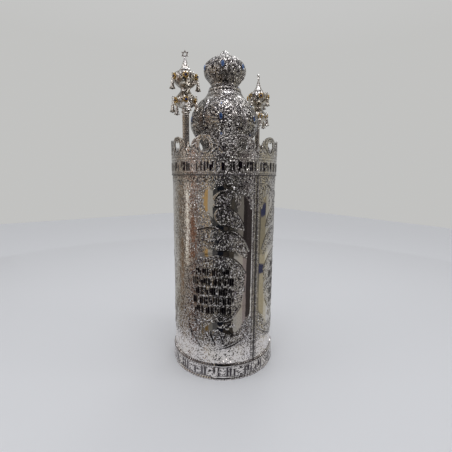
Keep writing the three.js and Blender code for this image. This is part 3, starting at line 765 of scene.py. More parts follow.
def buildBarrels():
    b = barrel
    quarter = math.pi / 2 * wallRadius
    xs = np.linspace(-quarter / 2, quarter / 2, b["columns"] + 1)
    low, high = footTop + b["plainEdge"], crestLow - b["plainEdge"]
    rows = int((high - low) / b["pitchUp"])
    ys = np.concatenate([[b["low"], footTop - 1], np.linspace(low, high, rows), [b["high"]]])
    # the back panel is bare of strokes
    front, back = (chasePanel(newField(xs, ys), marked) for marked in (True, False))
    # a panel is stored toward the seam, so the front one is turned round
    turned = {key: front[key][:, ::-1] for key in layers}
    whole = joinFields([turned, back])
    azimuths = bandAzimuths(2 * b["columns"], wallRadius)
    clearField(whole, (ys <= footTop) | (ys >= crestLow))
    clearField(whole, np.s_[:, (math.pi - azimuths) * wallRadius < b["hingeStrip"]])
    radius = wallRadius + whole["lift"]
    wrapHalves("case_wall", "barrel", azimuths, ys, whole, radius, ys[:, None], wallRadius - b["wall"])


buildBarrels()


# Foot band: a lip, a row of strokes on a bright ground and wavy edges

footBand = {
    "inner": 0.3,            # gap round the wall
    "lipOut": 4.5,
    "fieldOut": 2.9,
    "topOut": 2.0,
    "lipHigh": 5,
    "topLow": 34,
    "columns": 260,
    "pitchUp": 1.15,
    "marks": {
        "foot": 12, "height": 17.5, "width": 3.9, "lift": 0.7, "apart": 1.4, "seeds": (3, 1),
        "groups": (26, 34, 22, 40, 30, 24, 36), "space": 11, "from": 5, "least": 22, "margin": 4,
    },
    "wavePitch": 6.6,
    "dip": 2.4,
    "bow": 46,               # length of the plain bowed mouldings
}


def chaseFoot(field, middles, end):
    f = footBand
    pitch = f["wavePitch"]
    field["matte"][field["ys"] < f["topLow"]] = 0.95
    chaseRow(field, f["marks"], end)
    for x in np.arange(0, end, pitch):
        if min(abs(x - middle) for middle in middles) < f["bow"] / 2:
            continue
        for y, turn in ((35.6, 16), (6.4, -16)):
            chaseLeaf(field, x, y, turn, pitch, 5.2, 1.2, matte=0.2)
            chaseBead(field, x + pitch * 0.5, y + 2.6, 3.6, 0.2, dark=0.95)
            chaseBead(field, x, y - 2.8, 3.2, 0.2, dark=0.9)
    steps = np.linspace(-1, 1, 13)
    for middle in middles:
        for y, rise in ((37, -1), (6.4, 1)):
            bow = [(middle + s * f["bow"] / 2, y + rise * 1.6 * (1 - s * s)) for s in steps]
            # painted shadow under the bow: a dark stroke, barely raised, below it
            under = [(px, py - 3.4) for px, py in bow]
            for k, away in enumerate(np.abs(steps[:-1] + steps[1:]) / 2):
                chaseStroke(field, under[k:k + 2], 3.4 - 2 * away, 0.1, matte=0, dark=0.95)
                chaseStroke(field, bow[k:k + 2], 4.4 - 3 * away, 1.0, matte=0)
    return finishField(field)


def buildFootBands():
    f = footBand
    lip, plain = f["lipOut"], f["fieldOut"]
    azimuths = bandAzimuths(f["columns"], wallRadius + lip)
    xs = azimuths * (wallRadius + plain)
    ys = np.linspace(0, footTop, int(footTop / f["pitchUp"]))
    ups = [0, 1.2, f["lipHigh"] - 1, f["lipHigh"] + 1, f["topLow"] - 1,
           f["topLow"] + 1, footTop - 1.5, footTop]
    base = np.interp(ys, ups, [lip - 0.5, lip, lip, plain, plain, plain + 0.5, plain + 0.2, f["topOut"]])
    middles = [xs[-1] * share for share in (0.19, 0.81)]
    field = chaseFoot(newField(xs, ys), middles, xs[-1])
    # the upper edge dips between the leaves, but not at the bows
    away = np.min([np.abs(xs - middle) for middle in middles], axis=0)
    dip = f["dip"] * (0.5 - 0.5 * np.cos(2 * math.pi * xs / f["wavePitch"])) * (away > f["bow"] / 2)
    # painted shade in the dips of the upper edge: its two top rows dark there
    field["dark"][-2:, dip > f["dip"] / 2] = 0.9
    up = ys[:, None] - dip * ease(ys[:, None], f["topLow"] - 1, footTop)
    radius = wallRadius + base[:, None] + field["lift"]
    wrapHalves("foot_ring", "foot_band", azimuths, ys, field, radius, up, wallRadius + f["inner"])


buildFootBands()


# Crest: a band of strokes between beaded borders, and five pierced lobes on each half

crest = {
    "inner": 0.3,
    "sheet": 1.8,
    "borderOut": 0.9,
    "columns": 300,
    "pitchUp": 1.3,
    "bandHigh": 515,
    "borderHigh": 4,
    "shadowTop": 479,         # foot of the beads, above a dark edge
    "marks": {
        "foot": 487, "height": 18, "width": 3.0, "lift": 0.8, "apart": 1.2, "seeds": (2, 3),
        "groups": (44, 30, 52, 36, 40), "space": 7, "from": 6, "least": 24, "margin": 5,
    },
    "lobes": 5,
    "valley": 531,
    "lobeHalfW": 34.4,
    "palmetteTip": 548,
    "palmetteHalfW": 6,
    "windowHalfW": 11,
    "windowHalfH": 13.5,
    "windowMiddle": 539.5,
    # beside each window: height, angle, length; then on each palmette: angle, length
    "sideLeaves": [(522, 60, 13), (527, 25, 13), (534, 55, 12),
                   (541, 75, 12), (548, 100, 11), (553, 130, 11)],
    "palmette": [(90, 17), (60, 13), (120, 13), (35, 11), (145, 11)],
}


def crestInside(x, y):
    # above 0 inside the sheet, with x from the middle of a lobe
    c = crest
    halfW, valley = c["lobeHalfW"], c["valley"]
    pitch = math.pi * (wallRadius + c["inner"] + c["sheet"]) / c["lobes"]
    x = np.abs((x + pitch / 2) % pitch - pitch / 2)
    lobe = (crestHigh - valley) * np.clip(1 - (x / halfW) ** 2, 0, 1) ** 0.42 - (y - valley)
    lobe = lobe + 4 * np.minimum(halfW - x, 0)
    leafUp = np.clip((y - valley) / (c["palmetteTip"] - valley), -1, 1)
    leafHalf = c["palmetteHalfW"] * np.sqrt(np.clip(1 - leafUp, 0, 2)) * (0.62 + 0.38 * leafUp)
    outer = np.maximum(np.maximum(valley - y, lobe), leafHalf - (pitch / 2 - x))
    away = np.sqrt((x / c["windowHalfW"]) ** 2 + ((y - c["windowMiddle"]) / c["windowHalfH"]) ** 2)
    # a small curl hangs into the window from the top
    curl = 3.4 - np.hypot(x, y - (c["windowMiddle"] + c["windowHalfH"]) + 2.5)
    return np.minimum(outer, np.maximum((away - 1) * c["windowHalfW"], curl))


def chaseCrest(field, middles, end):
    c = crest
    ys = field["ys"]
    field["matte"][:] = 0.9
    border = (ys > c["bandHigh"] - c["borderHigh"]) & (ys < c["bandHigh"])
    border |= ys < crestLow + c["borderHigh"]
    field["lift"][border] = c["borderOut"] * 0.6
    field["matte"][border] = 1
    # painted shadow along the lower edge, under the beaded border
    field["dark"][ys < c["shadowTop"]] = 0.7
    chaseRow(field, c["marks"], end)
    for x in np.arange(1.5, end, 4.6):
        for y in (c["shadowTop"] + 4, c["bandHigh"] - 3, c["bandHigh"] + 3):
            chaseBead(field, x, y, 3.0, c["borderOut"])
    window = arcPoints(c["windowHalfW"] + 2.4, c["windowHalfH"] + 2.4, 0, 360, 30)
    high = crestHigh - c["valley"] - 2.2
    for middle in middles:
        chaseStroke(field, placed(field, middle, c["windowMiddle"], window), 3.0, 1.2, matte=0.8)
        for side in (-1, 1):
            for y, turn, long in c["sideLeaves"]:
                angle = turn if side > 0 else 180 - turn
                chaseLeaf(field, middle + side * (c["windowHalfW"] + 4), y, angle, long, 6, 1.2, matte=0.7)
            scroll = [(middle + side * (25 + px), 536 + py) for px, py in spiralPoints(7, 2, 200, -160, 14)]
            chaseStroke(field, scroll, 2.2, 1.2, matte=0.7)
        rim = [(middle + c["lobeHalfW"] * 0.93 * math.sin(a), c["valley"] + high * math.cos(a) ** 0.84)
               for a in np.linspace(-1.4, 1.4, 30)]
        chaseStroke(field, rim, 2.4, 0.9, matte=0.8)
        for px, py in rim[::2]:
            chaseBead(field, px, py, 3.0, 1.4)
    for k in range(c["lobes"] + 1):
        x = k * end / c["lobes"]
        for turn, long in c["palmette"]:
            chaseLeaf(field, x, 527, turn, long, 5.5, 1.3, matte=0.2)
        chaseBead(field, x, 524, 6, 2.2)
        chaseLeaf(field, x - 9, 521, 10, 16, 5, 1.0)
    return finishField(field)


def fitToOutline(flatX, flatY, inside):
    # moves the places beside the outline of the crest onto it
    reach = crest["pitchUp"]
    step = 0.05
    free = (flatX > flatX[0, 1]) & (flatX < flatX[0, -2]) & (flatY > flatY[1, 0])
    free &= np.abs(inside) < reach * 1.1
    free &= inside <= reach * 0.55
    for _ in range(6):
        value = crestInside(flatX, flatY)
        slopeX = (crestInside(flatX + step, flatY) - value) / step
        slopeY = (crestInside(flatX, flatY + step) - value) / step
        steep = slopeX ** 2 + slopeY ** 2 + 0.05
        pull = np.where(free, np.clip(value / steep, -0.6, 0.6), 0)
        flatX = flatX - pull * slopeX
        flatY = np.minimum(flatY - pull * slopeY, crestHigh)
    return flatX, flatY


def buildCrests():
    c = crest
    outer = wallRadius + c["inner"] + c["sheet"]
    end = math.pi * outer
    azimuths = bandAzimuths(c["columns"], outer)
    ys = np.linspace(crestLow, crestHigh, int((crestHigh - crestLow) / c["pitchUp"]))
    middles = [end * (k + 0.5) / c["lobes"] for k in range(c["lobes"])]
    field = chaseCrest(newField(azimuths * outer, ys), middles, end)
    flatX, flatY = np.meshgrid(field["xs"] - middles[0], ys)
    inside = crestInside(flatX, flatY)
    flatX, flatY = fitToOutline(flatX, flatY, inside)
    keep = (inside > -c["pitchUp"] * 0.5) & (crestInside(flatX, flatY) > -0.25)
    for word, side in halves.items():
        def place(*_):
            x, y = onCase((flatX + middles[0]) / outer, outer + field["lift"])
            return side * x, y, flatY
        piece, row, col = gridPiece("crest_band_" + word, azimuths, ys, place, field)
        pickVerts(piece, ~keep[row, col])
        bpy.ops.mesh.delete(type="VERT")
        turnOutward()
        first = piece.data.polygons[0]
        if first.normal.dot(first.center) < 0:
            piece.data.flip_normals()
        thick = piece.modifiers.new("thick", "SOLIDIFY")
        thick.thickness = c["sheet"] * mm
        thick.offset = -1
        bpy.ops.object.modifier_apply(modifier=thick.name)
        finishPiece(piece, word + "_half", silverCrest, ["crest_" + word])
        print(piece.name, len(piece.data.polygons), "faces")


buildCrests()


# Turned pieces: a grid wrapped round an upright axis, with relief that stands square to its profile

def profileCurve(points, pitch, passes):
    # even steps along the line through height, radius points, with its corners eased
    line = np.array(points, float)
    runs = np.concatenate([[0], np.cumsum(np.hypot(np.diff(line[:, 0]), np.diff(line[:, 1])))])
    along = np.linspace(0, runs[-1], int(runs[-1] / pitch) + 1)
    curve = np.stack([np.interp(along, runs, line[:, k]) for k in (0, 1)], axis=1)
    for _ in range(passes):
        curve[1:-1] = (curve[:-2] + 2 * curve[1:-1] + curve[2:]) / 4
    slope = np.gradient(curve, axis=0)
    slope /= np.linalg.norm(slope, axis=1)[:, None]
    return {"along": along, "up": curve[:, 0], "out": curve[:, 1],
            "squareOut": slope[:, 0], "squareUp": -slope[:, 1]}


def readCurve(curve, up, *keys):
    return [float(np.interp(up, curve["up"], curve[key])) for key in keys]


def sectorField(curve, middle, sectors, columns):
    # the field of one sector, in degrees from its middle, and the azimuths round the whole piece
    half = 180 / sectors
    offsets = np.linspace(-half, half, columns + 1)
    field = newField(offsets, curve["along"], np.maximum(curve["out"], 0.5) * math.pi / 180)
    return field, np.radians(middle - half + np.linspace(0, 360, columns * sectors + 1))


def closeTurned(piece):
    # joins the two ends of the wrap and the poles, and fills what is still open
    pickVerts(piece, np.ones(len(piece.data.vertices), bool))
    bpy.ops.mesh.remove_doubles(threshold=0.01 * mm)
    fillOpen()


def turnedPiece(name, curve, azimuths, field=None, swell=1, x=0, foot=0):
    lift = 0 if field is None else field["lift"]

    def place(azimuth, _):
        out = curve["out"][:, None] * swell + lift * curve["squareOut"][:, None]
        up = foot + curve["up"][:, None] + lift * curve["squareUp"][:, None]
        out[curve["out"] < 1e-6] = 0
        across, deep = onCase(azimuth, out)
        return x + across, deep, up
    piece, _, _ = gridPiece(name, azimuths, curve["along"], place, field)
    closeTurned(piece)
    return piece


def outward(curve, azimuth, up, lift, x=0):
    # matrix that takes a thing made facing +Z, with +Y upward, to the wall of a turned piece on the roof
    out, squareOut, squareUp = readCurve(curve, up, "out", "squareOut", "squareUp")
    turn = math.radians(azimuth)
    radial = Vector((math.sin(turn), -math.cos(turn), 0))
    facing = (radial * squareOut + Vector((0, 0, squareUp))).normalized()
    across = Vector((0, 0, 1)).cross(facing).normalized()
    matrix = Matrix((across, facing.cross(across), facing)).transposed().to_4x4()
    matrix.translation = (Vector((x, 0, standAt + up)) + radial * out + facing * lift) * mm
    return matrix


def shift(x, y, z):
    return Matrix.Translation((x * mm, y * mm, z * mm))


def rotation(degrees, axis):
    return Matrix.Rotation(math.radians(degrees), 4, axis)


def torus(radius, thick, segments, sides):
    deselectAll()
    bpy.ops.mesh.primitive_torus_add(
        major_segments=segments, minor_segments=sides, major_radius=radius * mm, minor_radius=thick * mm)
    return bpy.context.object


def ball(size, centre, segments, rings):
    # stretched to half sizes across, deep and up
    deselectAll()
    bpy.ops.mesh.primitive_uv_sphere_add(segments=segments, ring_count=rings, radius=1)
    piece = bpy.context.object
    piece.data.transform(Matrix.Diagonal((*(part * mm for part in size), 1)))
    piece.data.transform(shift(*centre))
    return piece


def joinPieces(name, pieces):
    selectOnly(*pieces)
    if len(pieces) > 1:
        bpy.ops.object.join()
    return nameIt(pieces[0], name)


# Crown: a foot, a wide dome, a neck and an onion in six lobes, chased with leaves and scrolls

crown = {
    "azimuth": -40.5,        # middle of one lobe, from the seam
    "lobes": 6,
    "columns": 56,           # across one lobe
    "pitchUp": 1.7,
    "groove": 0.04,
    "ribHalf": 4,            # degrees
    "relief": 0.8,
    "profile": [             # height over the roof, radius
        (0, 58), (0.8, 60), (6.6, 60), (8.2, 58.4), (9, 55), (14, 53), (24, 52), (33, 54.6), (43, 61.5),
        (54.5, 71.8), (60.9, 76.5), (71.4, 81.7), (82, 83.4), (94.6, 82.9), (105.2, 80), (115.8, 74.3),
        (126.1, 67.3), (136.6, 57.4), (144.5, 48.4), (148, 44.6), (149.4, 43.2), (152.6, 42.2),
        (155, 40.4), (157.3, 38.9), (158.4, 39.6), (162, 39.4), (165.5, 37.4), (169, 33.6), (171.5, 32.6),
        (173.8, 32.4), (176, 33.2), (181.7, 36.9), (191.8, 46.2), (197, 49.2), (201.9, 50.3), (207, 50.6),
        (211.7, 50.1), (219.8, 46.6), (225, 41.6), (229.9, 35), (234, 27.6), (237.8, 20), (241, 15.4),
        (245, 11.4), (247.9, 8.8), (251.4, 5.6), (253, 2.6), (253.4, 0),
    ],
    "bulbStone": 208.4,
    "neckStone": 164.8,
    "shoulderStone": 117.8,
    "domeStone": 90,
    "lowStone": 54.4,
    # leaves in pairs, one on each side of a lobe's middle: degrees from it, height, angle, length
    "domeLeaves": [(3, 58, 60, 14), (8, 50, 40, 13), (22, 50, 75, 15), (33, 56, 95, 14), (38, 68, 100, 12)],
    "stoneLeaves": [(24, 84, 40, 15), (26, 93, 10, 13), (25, 101, -20, 13),
                    (36, 88, 80, 15), (36, 102, 100, 15)],
    "onionLeaves": [(20, 202, 85, 15), (14, 206, 30, 11), (13, 216, 60, 12), (20, 216, 110, 12),
                    (7, 221, 70, 12),
                    (7, 190, 20, 12), (21, 190, 100, 12)],
    "shoulderLeaves": [      # and width
        (27, 108, 70, 16, 7), (11, 105, 45, 13, 6), (22, 128, 110, 14, 6), (5, 128, 80, 13, 5.6),
        (13, 124, 95, 11, 5.6), (0.01, 123, 90, 11, 6),
    ],
}
crownCurve = profileCurve(crown["profile"], crown["pitchUp"], passes=2)


def crownSwell(up, offset):
    # radius of the lobes as a share of the profile's
    dome = ease(up, 24, 69) * (1 - ease(up, 126, 157))
    bulb = ease(up, 174, 197) * (1 - ease(up, 227, 253))
    half = 180 / crown["lobes"] - crown["ribHalf"]
    away = np.clip(np.abs(offset) / half, 0, 1)
    rib = np.clip((np.abs(offset) - half) / crown["ribHalf"], 0, 1)
    return 1 - crown["groove"] * (dome + bulb) * (away ** 2 - 0.8 * rib)


def chaseLobe(field):
    c = crown
    field["matte"][:] = 1
    half = 180 / c["lobes"]
    across = np.arange(-half, half + 0.1, 12)

    def level(up):
        return readCurve(crownCurve, up, "along")[0]

    def pair(x, up, angle, long, wide, height=1.5, matte=0.65, vein=0.55):
        for side in (1, -1):
            (px, py), = placed(field, 0, level(up), [(side * x, 0)])
            chaseLeaf(field, px, py, angle if side > 0 else 180 - angle, long, wide, height, vein, matte)

    def ring(up, halfW, halfH, count, long, wide, height, turn=0.0, matte=0.6):
        # leaves that stand out from an oval
        for k in range(count):
            angle = turn + 360 * k / count
            a = math.radians(angle)
            (px, py), = placed(field, 0, level(up), [(halfW * math.cos(a), halfH * math.sin(a))])
            chaseLeaf(field, px, py, angle, long, wide, height, matte=matte)

    def scroll(x, up, points, small, large, height=1.4, stem=2.6):
        for side in (1, -1):
            line = placed(field, 0, level(up), [(side * (x + px), py) for px, py in points])
            chaseBranch(field, line, small, large, height, stem)

    # rings of beads and smoother bands on the foot and on the neck
    for up, pitch, size in ((4, 5, 4.4), (46, 3, 3.0), (145.5, 4, 2.8), (174, 6, 2.8)):
        for x in np.arange(-half, half + 0.1, pitch):
            chaseBead(field, x, level(up), size, 1.3)
    for low, high, matte in ((0.5, 8.4, 0.06), (134, 143, 0.15), (171, 176.5, 0.4)):
        field["matte"][(field["ys"] > level(low)) & (field["ys"] < level(high))] = matte
    # upright leaves on the waist
    for x in (4.8, 14, 23.5):
        pair(x, 12, 90, 24, 8.5, 1.7)
    for x in (0.01, 9.4, 18.8):
        pair(x, 33, 90, 13, 6.5, 1.4)
    # lower part of the dome
    scroll(17, 66, arcPoints(11, 13, 200, -60), 6, 9)
    scroll(31, 78, arcPoints(8, 16, 240, 60, 12), 6, 8)
    scroll(12, 76, [(4 + px, py - 8) for px, py in spiralPoints(8, 3, 100, -220, 12)], 4, 5, stem=2)
    for leaf in c["domeLeaves"]:
        pair(*leaf, 6)
    # round the dome's stone
    ring(c["domeStone"], 6.6, 9, 12, 9, 5, 1.8, turn=15)
    ring(c["domeStone"], 14, 17, 14, 11, 5.4, 1.4, turn=4)
    for leaf in c["stoneLeaves"]:
        pair(*leaf, 6.5)
    # painted shadow under the stone: a dark stroke, barely raised; and a polished lip under that
    for drop, wide, high, shade in ((8.5, 3.2, 0.1, 0.95), (14.5, 5.4, 3.2, 0)):
        lip = [(x, 0.03 * x * x) for x in np.linspace(-8, 8, 9)]
        chaseStroke(field, placed(field, 2, level(c["domeStone"]) - drop, lip),
                    wide, high, matte=0, dark=shade)
    # shoulder
    ring(c["shoulderStone"], 4, 4.4, 10, 8, 4.4, 1.4)
    scroll(15, 117, arcPoints(8, 9, -100, 170, 13), 5, 8, height=0.9, stem=1.8)
    for leaf in c["shoulderLeaves"]:
        pair(*leaf, matte=0.6)
    for x, up in ((21, 112), (30, 99)):
        pair(x, up, 60, 13, 7, 1.4, matte=0.4, vein=0.4)
    # scrolled ring under the neck
    for x in across:
        chaseStroke(field, placed(field, x, level(153), spiralPoints(5, 1.6, -90, 250, 14)), 2.4, 1.7)
        for angle in (40, 140):
            chaseLeaf(field, x + 6, level(147), angle, 9, 4.6, 1.4, matte=0.4)
            chaseLeaf(field, x, level(159), 180 - angle, 8, 4.4, 1.4, matte=0.4)
        chaseBead(field, x + 6, level(166), 3.2, 1.4, dark=0.9)
    ring(c["neckStone"], 3.4, 3.4, 8, 4.4, 3, 1.3, matte=0.1)
    # onion
    for x in (0.01, 9.5):
        pair(x, 177, 90, 15, 7, 1.6)
    pair(4.7, 180, 84, 12, 5, 1.3)
    pair(14, 182, 96, 12, 5, 1.3)
    ring(c["bulbStone"], 6.2, 8.2, 12, 9, 5, 1.7, turn=15)
    scroll(15, 196, arcPoints(7, 10, 230, -30, 12), 4.5, 7)
    for leaf in c["onionLeaves"]:
        pair(*leaf, 5.6)
    for x in (0.01, 8.6):
        pair(x, 227, 90, 17, 7, matte=0.05)
    pair(4.4, 233, 90, 13, 4.5, 1.2, matte=0.05)
    # ribs between the lobes
    for low, high in ((30, 132), (178, 246)):
        for side in (1, -1):
            for y in np.arange(level(low), level(high), 4.0):
                chaseBead(field, side * half, y, 3.2, 1.4)
    # small dark punched holes
    spots = np.random.default_rng(7)
    for up in np.concatenate([np.arange(26, 133, 6.5), np.arange(178, 236, 6.5)]):
        for x in spots.uniform(-half, half, 14):
            chaseBead(field, x, level(up + spots.uniform(-3, 3)), spots.uniform(1.6, 3.0), 0.1, dark=1)
    # painted shade round each large stone: a dark oval, barely raised, on the wall round its bezel
    for up in (c["domeStone"], c["bulbStone"]):
        oval = placed(field, 0, level(up), arcPoints(5.4, 8.2, 0, 360, 20))
        chaseStroke(field, oval, 2.6, 0.2, matte=0, dark=1)
    field["lift"] *= c["relief"]
    return finishField(field, blackening=1.6)


def buildCrown():
    c = crown
    field, azimuths = sectorField(crownCurve, c["azimuth"], c["lobes"], c["columns"])
    chaseLobe(field)
    # the relief dies away toward the tip
    fade = np.clip(crownCurve["out"] / 12, 0, 1)[:, None]
    field["lift"] *= fade
    field["matte"] *= fade
    whole = joinFields([field] * c["lobes"])
    offsets = np.concatenate([field["xs"]] + [field["xs"][1:]] * (c["lobes"] - 1))
    swell = crownSwell(crownCurve["up"][:, None], offsets[None, :])
    piece = turnedPiece("onion_crown", crownCurve, azimuths, whole, swell=swell, foot=standAt)
    finishPiece(piece, "left_half", silverCrown, ["crown"], angle=60)
    print(piece.name, len(piece.data.polygons), "faces")


buildCrown()


# Stones of the crown: cut ovals, each in a bezel

stones = {
    # name, height over the roof, width, height and thickness of each stone, slot; on its own CAD node or not
    "rows": [
        ("bulb", crown["bulbStone"], 8.5, 14, 3.6, "light_stone", True),
        ("dome", crown["domeStone"], 8.5, 14, 3.6, "deep_stone", True),
        ("neck", crown["neckStone"], 4, 4.4, 2, "deep_stone", False),
        ("shoulder", crown["shoulderStone"], 4.4, 5, 2.2, "light_stone", False),
        ("low", crown["lowStone"], 7.4, 8, 3, "deep_stone", False),
    ],
    "finish": {"light_stone": paleBlue, "deep_stone": deepBlue},
    "sides": 12,
    "rise": 0.6,             # how far a stone's girdle stands out of the wall
}


def cutOval(name, wide, high, thick, sides):
    # table, crown facets and girdle of a cut stone, facing +Z
    line = np.array([(-0.35, 0), (-0.35, 0.92), (0, 1), (0.34, 0.84), (0.65, 0.52), (0.65, 0)])
    curve = {"along": np.arange(len(line)), "up": line[:, 0] * thick, "out": line[:, 1],
             "squareOut": np.ones(len(line)), "squareUp": np.zeros(len(line))}
    piece = turnedPiece(name, curve, np.radians(np.linspace(0, 360, sides + 1) + 180 / sides))
    piece.data.transform(Matrix.Diagonal((wide / 2, high / 2, 1, 1)))
    return piece


def bezelRing(name, wide, high):
    # rounded rim with small grains on it
    ring = torus(1000, 1, 28, 8)
    ring.name = name
    co = readVerts(ring)
    angle = np.arctan2(co[:, 1], co[:, 0])
    roundTube = np.arctan2(co[:, 2], np.hypot(co[:, 0], co[:, 1]) - 1)
    size = 0.8 * (0.8 + 0.2 * np.cos(angle * 14))
    co[:, 0] = (wide / 2 + size * np.cos(roundTube)) * np.cos(angle)
    co[:, 1] = (high / 2 + size * np.cos(roundTube)) * np.sin(angle)
    co[:, 2] = size * np.sin(roundTube)
    writeVerts(ring, co * mm)
    return ring


def buildStones():
    s = stones
    for word, up, wide, high, thick, slot, cad in s["rows"]:
        gems, rims = [], []
        for lobe in range(1, crown["lobes"] + 1):
            azimuth = crown["azimuth"] + 360 / crown["lobes"] * (lobe - 1)
            gems.append(cutOval(f"gem_{word}_{lobe}", wide, high, thick, s["sides"]))
            rims.append(bezelRing(f"rim_{word}_{lobe}", wide + 0.6, high + 0.6))
            for piece in (gems[-1], rims[-1]):
                piece.data.transform(outward(crownCurve, azimuth, up, s["rise"]))
        if cad:
            for lobe, gem in enumerate(gems, 1):
                finishPiece(gem, "left_half", s["finish"][slot], [f"stone_{word}_{lobe}"], angle=5)
        else:
            finishPiece(joinPieces(f"gems_{word}", gems), "left_half", s["finish"][slot], angle=5)
        finishPiece(joinPieces(f"bezels_{word}", rims), "left_half", silverCrown, angle=60)
    print("stones set")


buildStones()


# Finials: a shaft, two bulbs with a flared cone between them, a cap, a spire and a star

finial = {
    "fromAxis": 107,
    "shaft": {"left": 6.9, "right": 5.9},
    "drop": {"left": 0, "right": 9},  # how much lower the bulbs of each one are
    "sectors": 6,
    "columns": 20,           # across one sector
    "pitchUp": 1.2,
    "sectorAzimuth": -25.5,  # middle of one sector, which carries a flower
    "bulbs": [               # height over the shaft's foot, radius
        (110.2, 11), (114, 16.5), (118, 21.5), (122, 23.7), (126, 23.9), (130, 22.2),
        (134, 18.4), (136.6, 15.6),
        (137.6, 15.8), (139, 14.4), (142.5, 11.4), (146.4, 9.6), (149.4, 9.2), (150.4, 10.6),
        (151.8, 10.8), (153.2, 12.8),
        (156.4, 17), (160.6, 21.2), (165.4, 24.6), (170, 26), (174.8, 26), (179, 24.4),
        (182, 21.4), (184, 17.4),
        (185.2, 13), (186, 11.4), (187, 14), (188.4, 13.6), (190, 11.2), (192.8, 8.8), (196.4, 7.2),
    ],
    "spire": {
        "left": [(198, 7.8), (199.2, 7.4), (200.4, 6.2), (204, 5.2), (209, 3.4), (211.4, 2.2),
                 (212.6, 2.8), (214, 2.2), (215.2, 1.4), (216.9, 1.2), (217.2, 0)],
        "right": [(198.6, 7), (200.2, 4.6), (202.2, 5.8), (204.6, 5.4), (206, 3), (208, 4.2), (210, 3.8),
                  (211, 2.2), (212.4, 2.9), (213.8, 2.3), (215, 1.5), (216.9, 1.2), (217.2, 0)],
    },
    "flowers": (123, 171.8),
    "starRadius": 7.6,
    "starTurn": 35,
    "starUp": 221.9,
    "pegs": {"upper": (174.2, 26), "lower": (125, 24)},  # height, radius of the bulb
}


def chaseFinial(field, curve, drop):
    ys = field["ys"]
    shaftTop = 110 - drop
    across = np.arange(-30, 30.1, 15)
    three, four = (-20, 0, 20), (-30, -10, 10, 30)

    def level(up):
        return readCurve(curve, up, "along")[0]

    def between(low, high):
        return (ys > level(low)) & (ys < level(high))

    def leaves(xs, up, angle, long, wide, height, matte):
        for x in xs:
            chaseLeaf(field, x, level(shaftTop + up), angle, long, wide, height, matte=matte)

    field["dark"][between(12, shaftTop - 14)] = 0.5
    field["matte"][between(12, shaftTop - 14)] = 0.08
    for i, up in enumerate(np.arange(14, shaftTop - 16, 3.8)):
        for x in ((-15, 15) if i % 2 else (-30, 0, 30)):
            chaseBead(field, x, level(up), 3.5, 1.1)
    field["matte"][between(shaftTop - 2, shaftTop + 78)] = 0.45
    # lower bulb: leaves from below and from above, then scales up the cone
    leaves(three, 0, 90, 17, 7.4, 1.5, 0.1)
    leaves(four, 6, 90, 13, 6, 1.2, 0.3)
    leaves(four, 28, -90, 10, 6, 1.2, 0.2)
    for x in across:
        chaseBead(field, x, level(shaftTop + 27.4), 3, 1.3)
    for up, xs in ((29, four), (33, three), (37, four)):
        leaves(xs, up, 90, 6.4, 4.4, 1.1, 0.3)
    # upper bulb
    leaves(three, 44, 90, 20, 8, 1.6, 0.05)
    leaves(four, 52, 90, 15, 6.5, 1.3, 0.25)
    leaves(four, 73.4, -90, 13, 6.5, 1.2, 0.15)
    for x in across:
        chaseBead(field, x, level(shaftTop + 43), 2.6, 1.1)
    # painted shade: a dark line under the lip of the cap
    field["dark"][between(shaftTop + 74.6, shaftTop + 76.4)] = 0.9
    field["matte"][between(shaftTop + 76.4, shaftTop + 80)] = 0
    # openwork of the spire
    field["matte"][ys > level(shaftTop + 91)] = 0.5
    for x in three:
        line = [(x, level(shaftTop + 92)), (x, level(shaftTop + 103))]
        chaseStroke(field, line, 0.7, 0.1, matte=0, dark=0.6)
    # flutes on the cap
    for x in four:
        chaseStroke(field, [(x, level(shaftTop + 81)), (x, level(shaftTop + 86))], 1.5, 0.5, matte=0)
    return finishField(field)


def triangleStar(name, radius, thick):
    # two three-sided rings laid across each other, and a smaller round one
    rings = [torus(radius, thick, 3, 8), torus(radius, thick, 3, 8), torus(radius * 0.6, thick, 24, 6)]
    for ring, turn in zip(rings, (30, 90, 0)):
        ring.data.transform(rotation(turn, "Z"))
        ring.data.transform(rotation(90, "X"))
    return joinPieces(name, rings)


def wirePiece(name, points, radius, sides):
    # round wire along points, closed at both ends
    line = np.array(points, float)
    runs = np.concatenate([[0], np.cumsum(np.linalg.norm(np.diff(line, axis=0), axis=1))])
    along = np.linspace(0, runs[-1], max(4, int(runs[-1] / 0.9)))
    line = np.stack([np.interp(along, runs, line[:, k]) for k in range(3)], axis=1)
    line[1:-1] = (line[:-2] + 2 * line[1:-1] + line[2:]) / 4
    ahead = np.gradient(line, axis=0)
    span = line[-1] - line[0]
    side = np.cross(span if abs(span[2]) < 0.9 * np.linalg.norm(span) else (1, 0, 0), (0, 0, 1))
    side = side / np.linalg.norm(side)
    other = np.cross(ahead, side)
    other /= np.linalg.norm(other, axis=1)[:, None]
    # the first and the last ring are shrunk to a point
    line, other = (np.concatenate([part[:1], part, part[-1:]]) for part in (line, other))
    reach = np.full(len(line), radius)
    reach[[0, -1]] = 0

    def place(angle, _):
        around = np.cos(angle)[..., None] * side + np.sin(angle)[..., None] * other[:, None, :]
        spots = line[:, None, :] + reach[:, None, None] * around
        return spots[..., 0], spots[..., 1], spots[..., 2]
    piece, _, _ = gridPiece(name, np.linspace(0, 2 * math.pi, sides + 1), np.arange(len(line)), place)
    closeTurned(piece)
    return piece


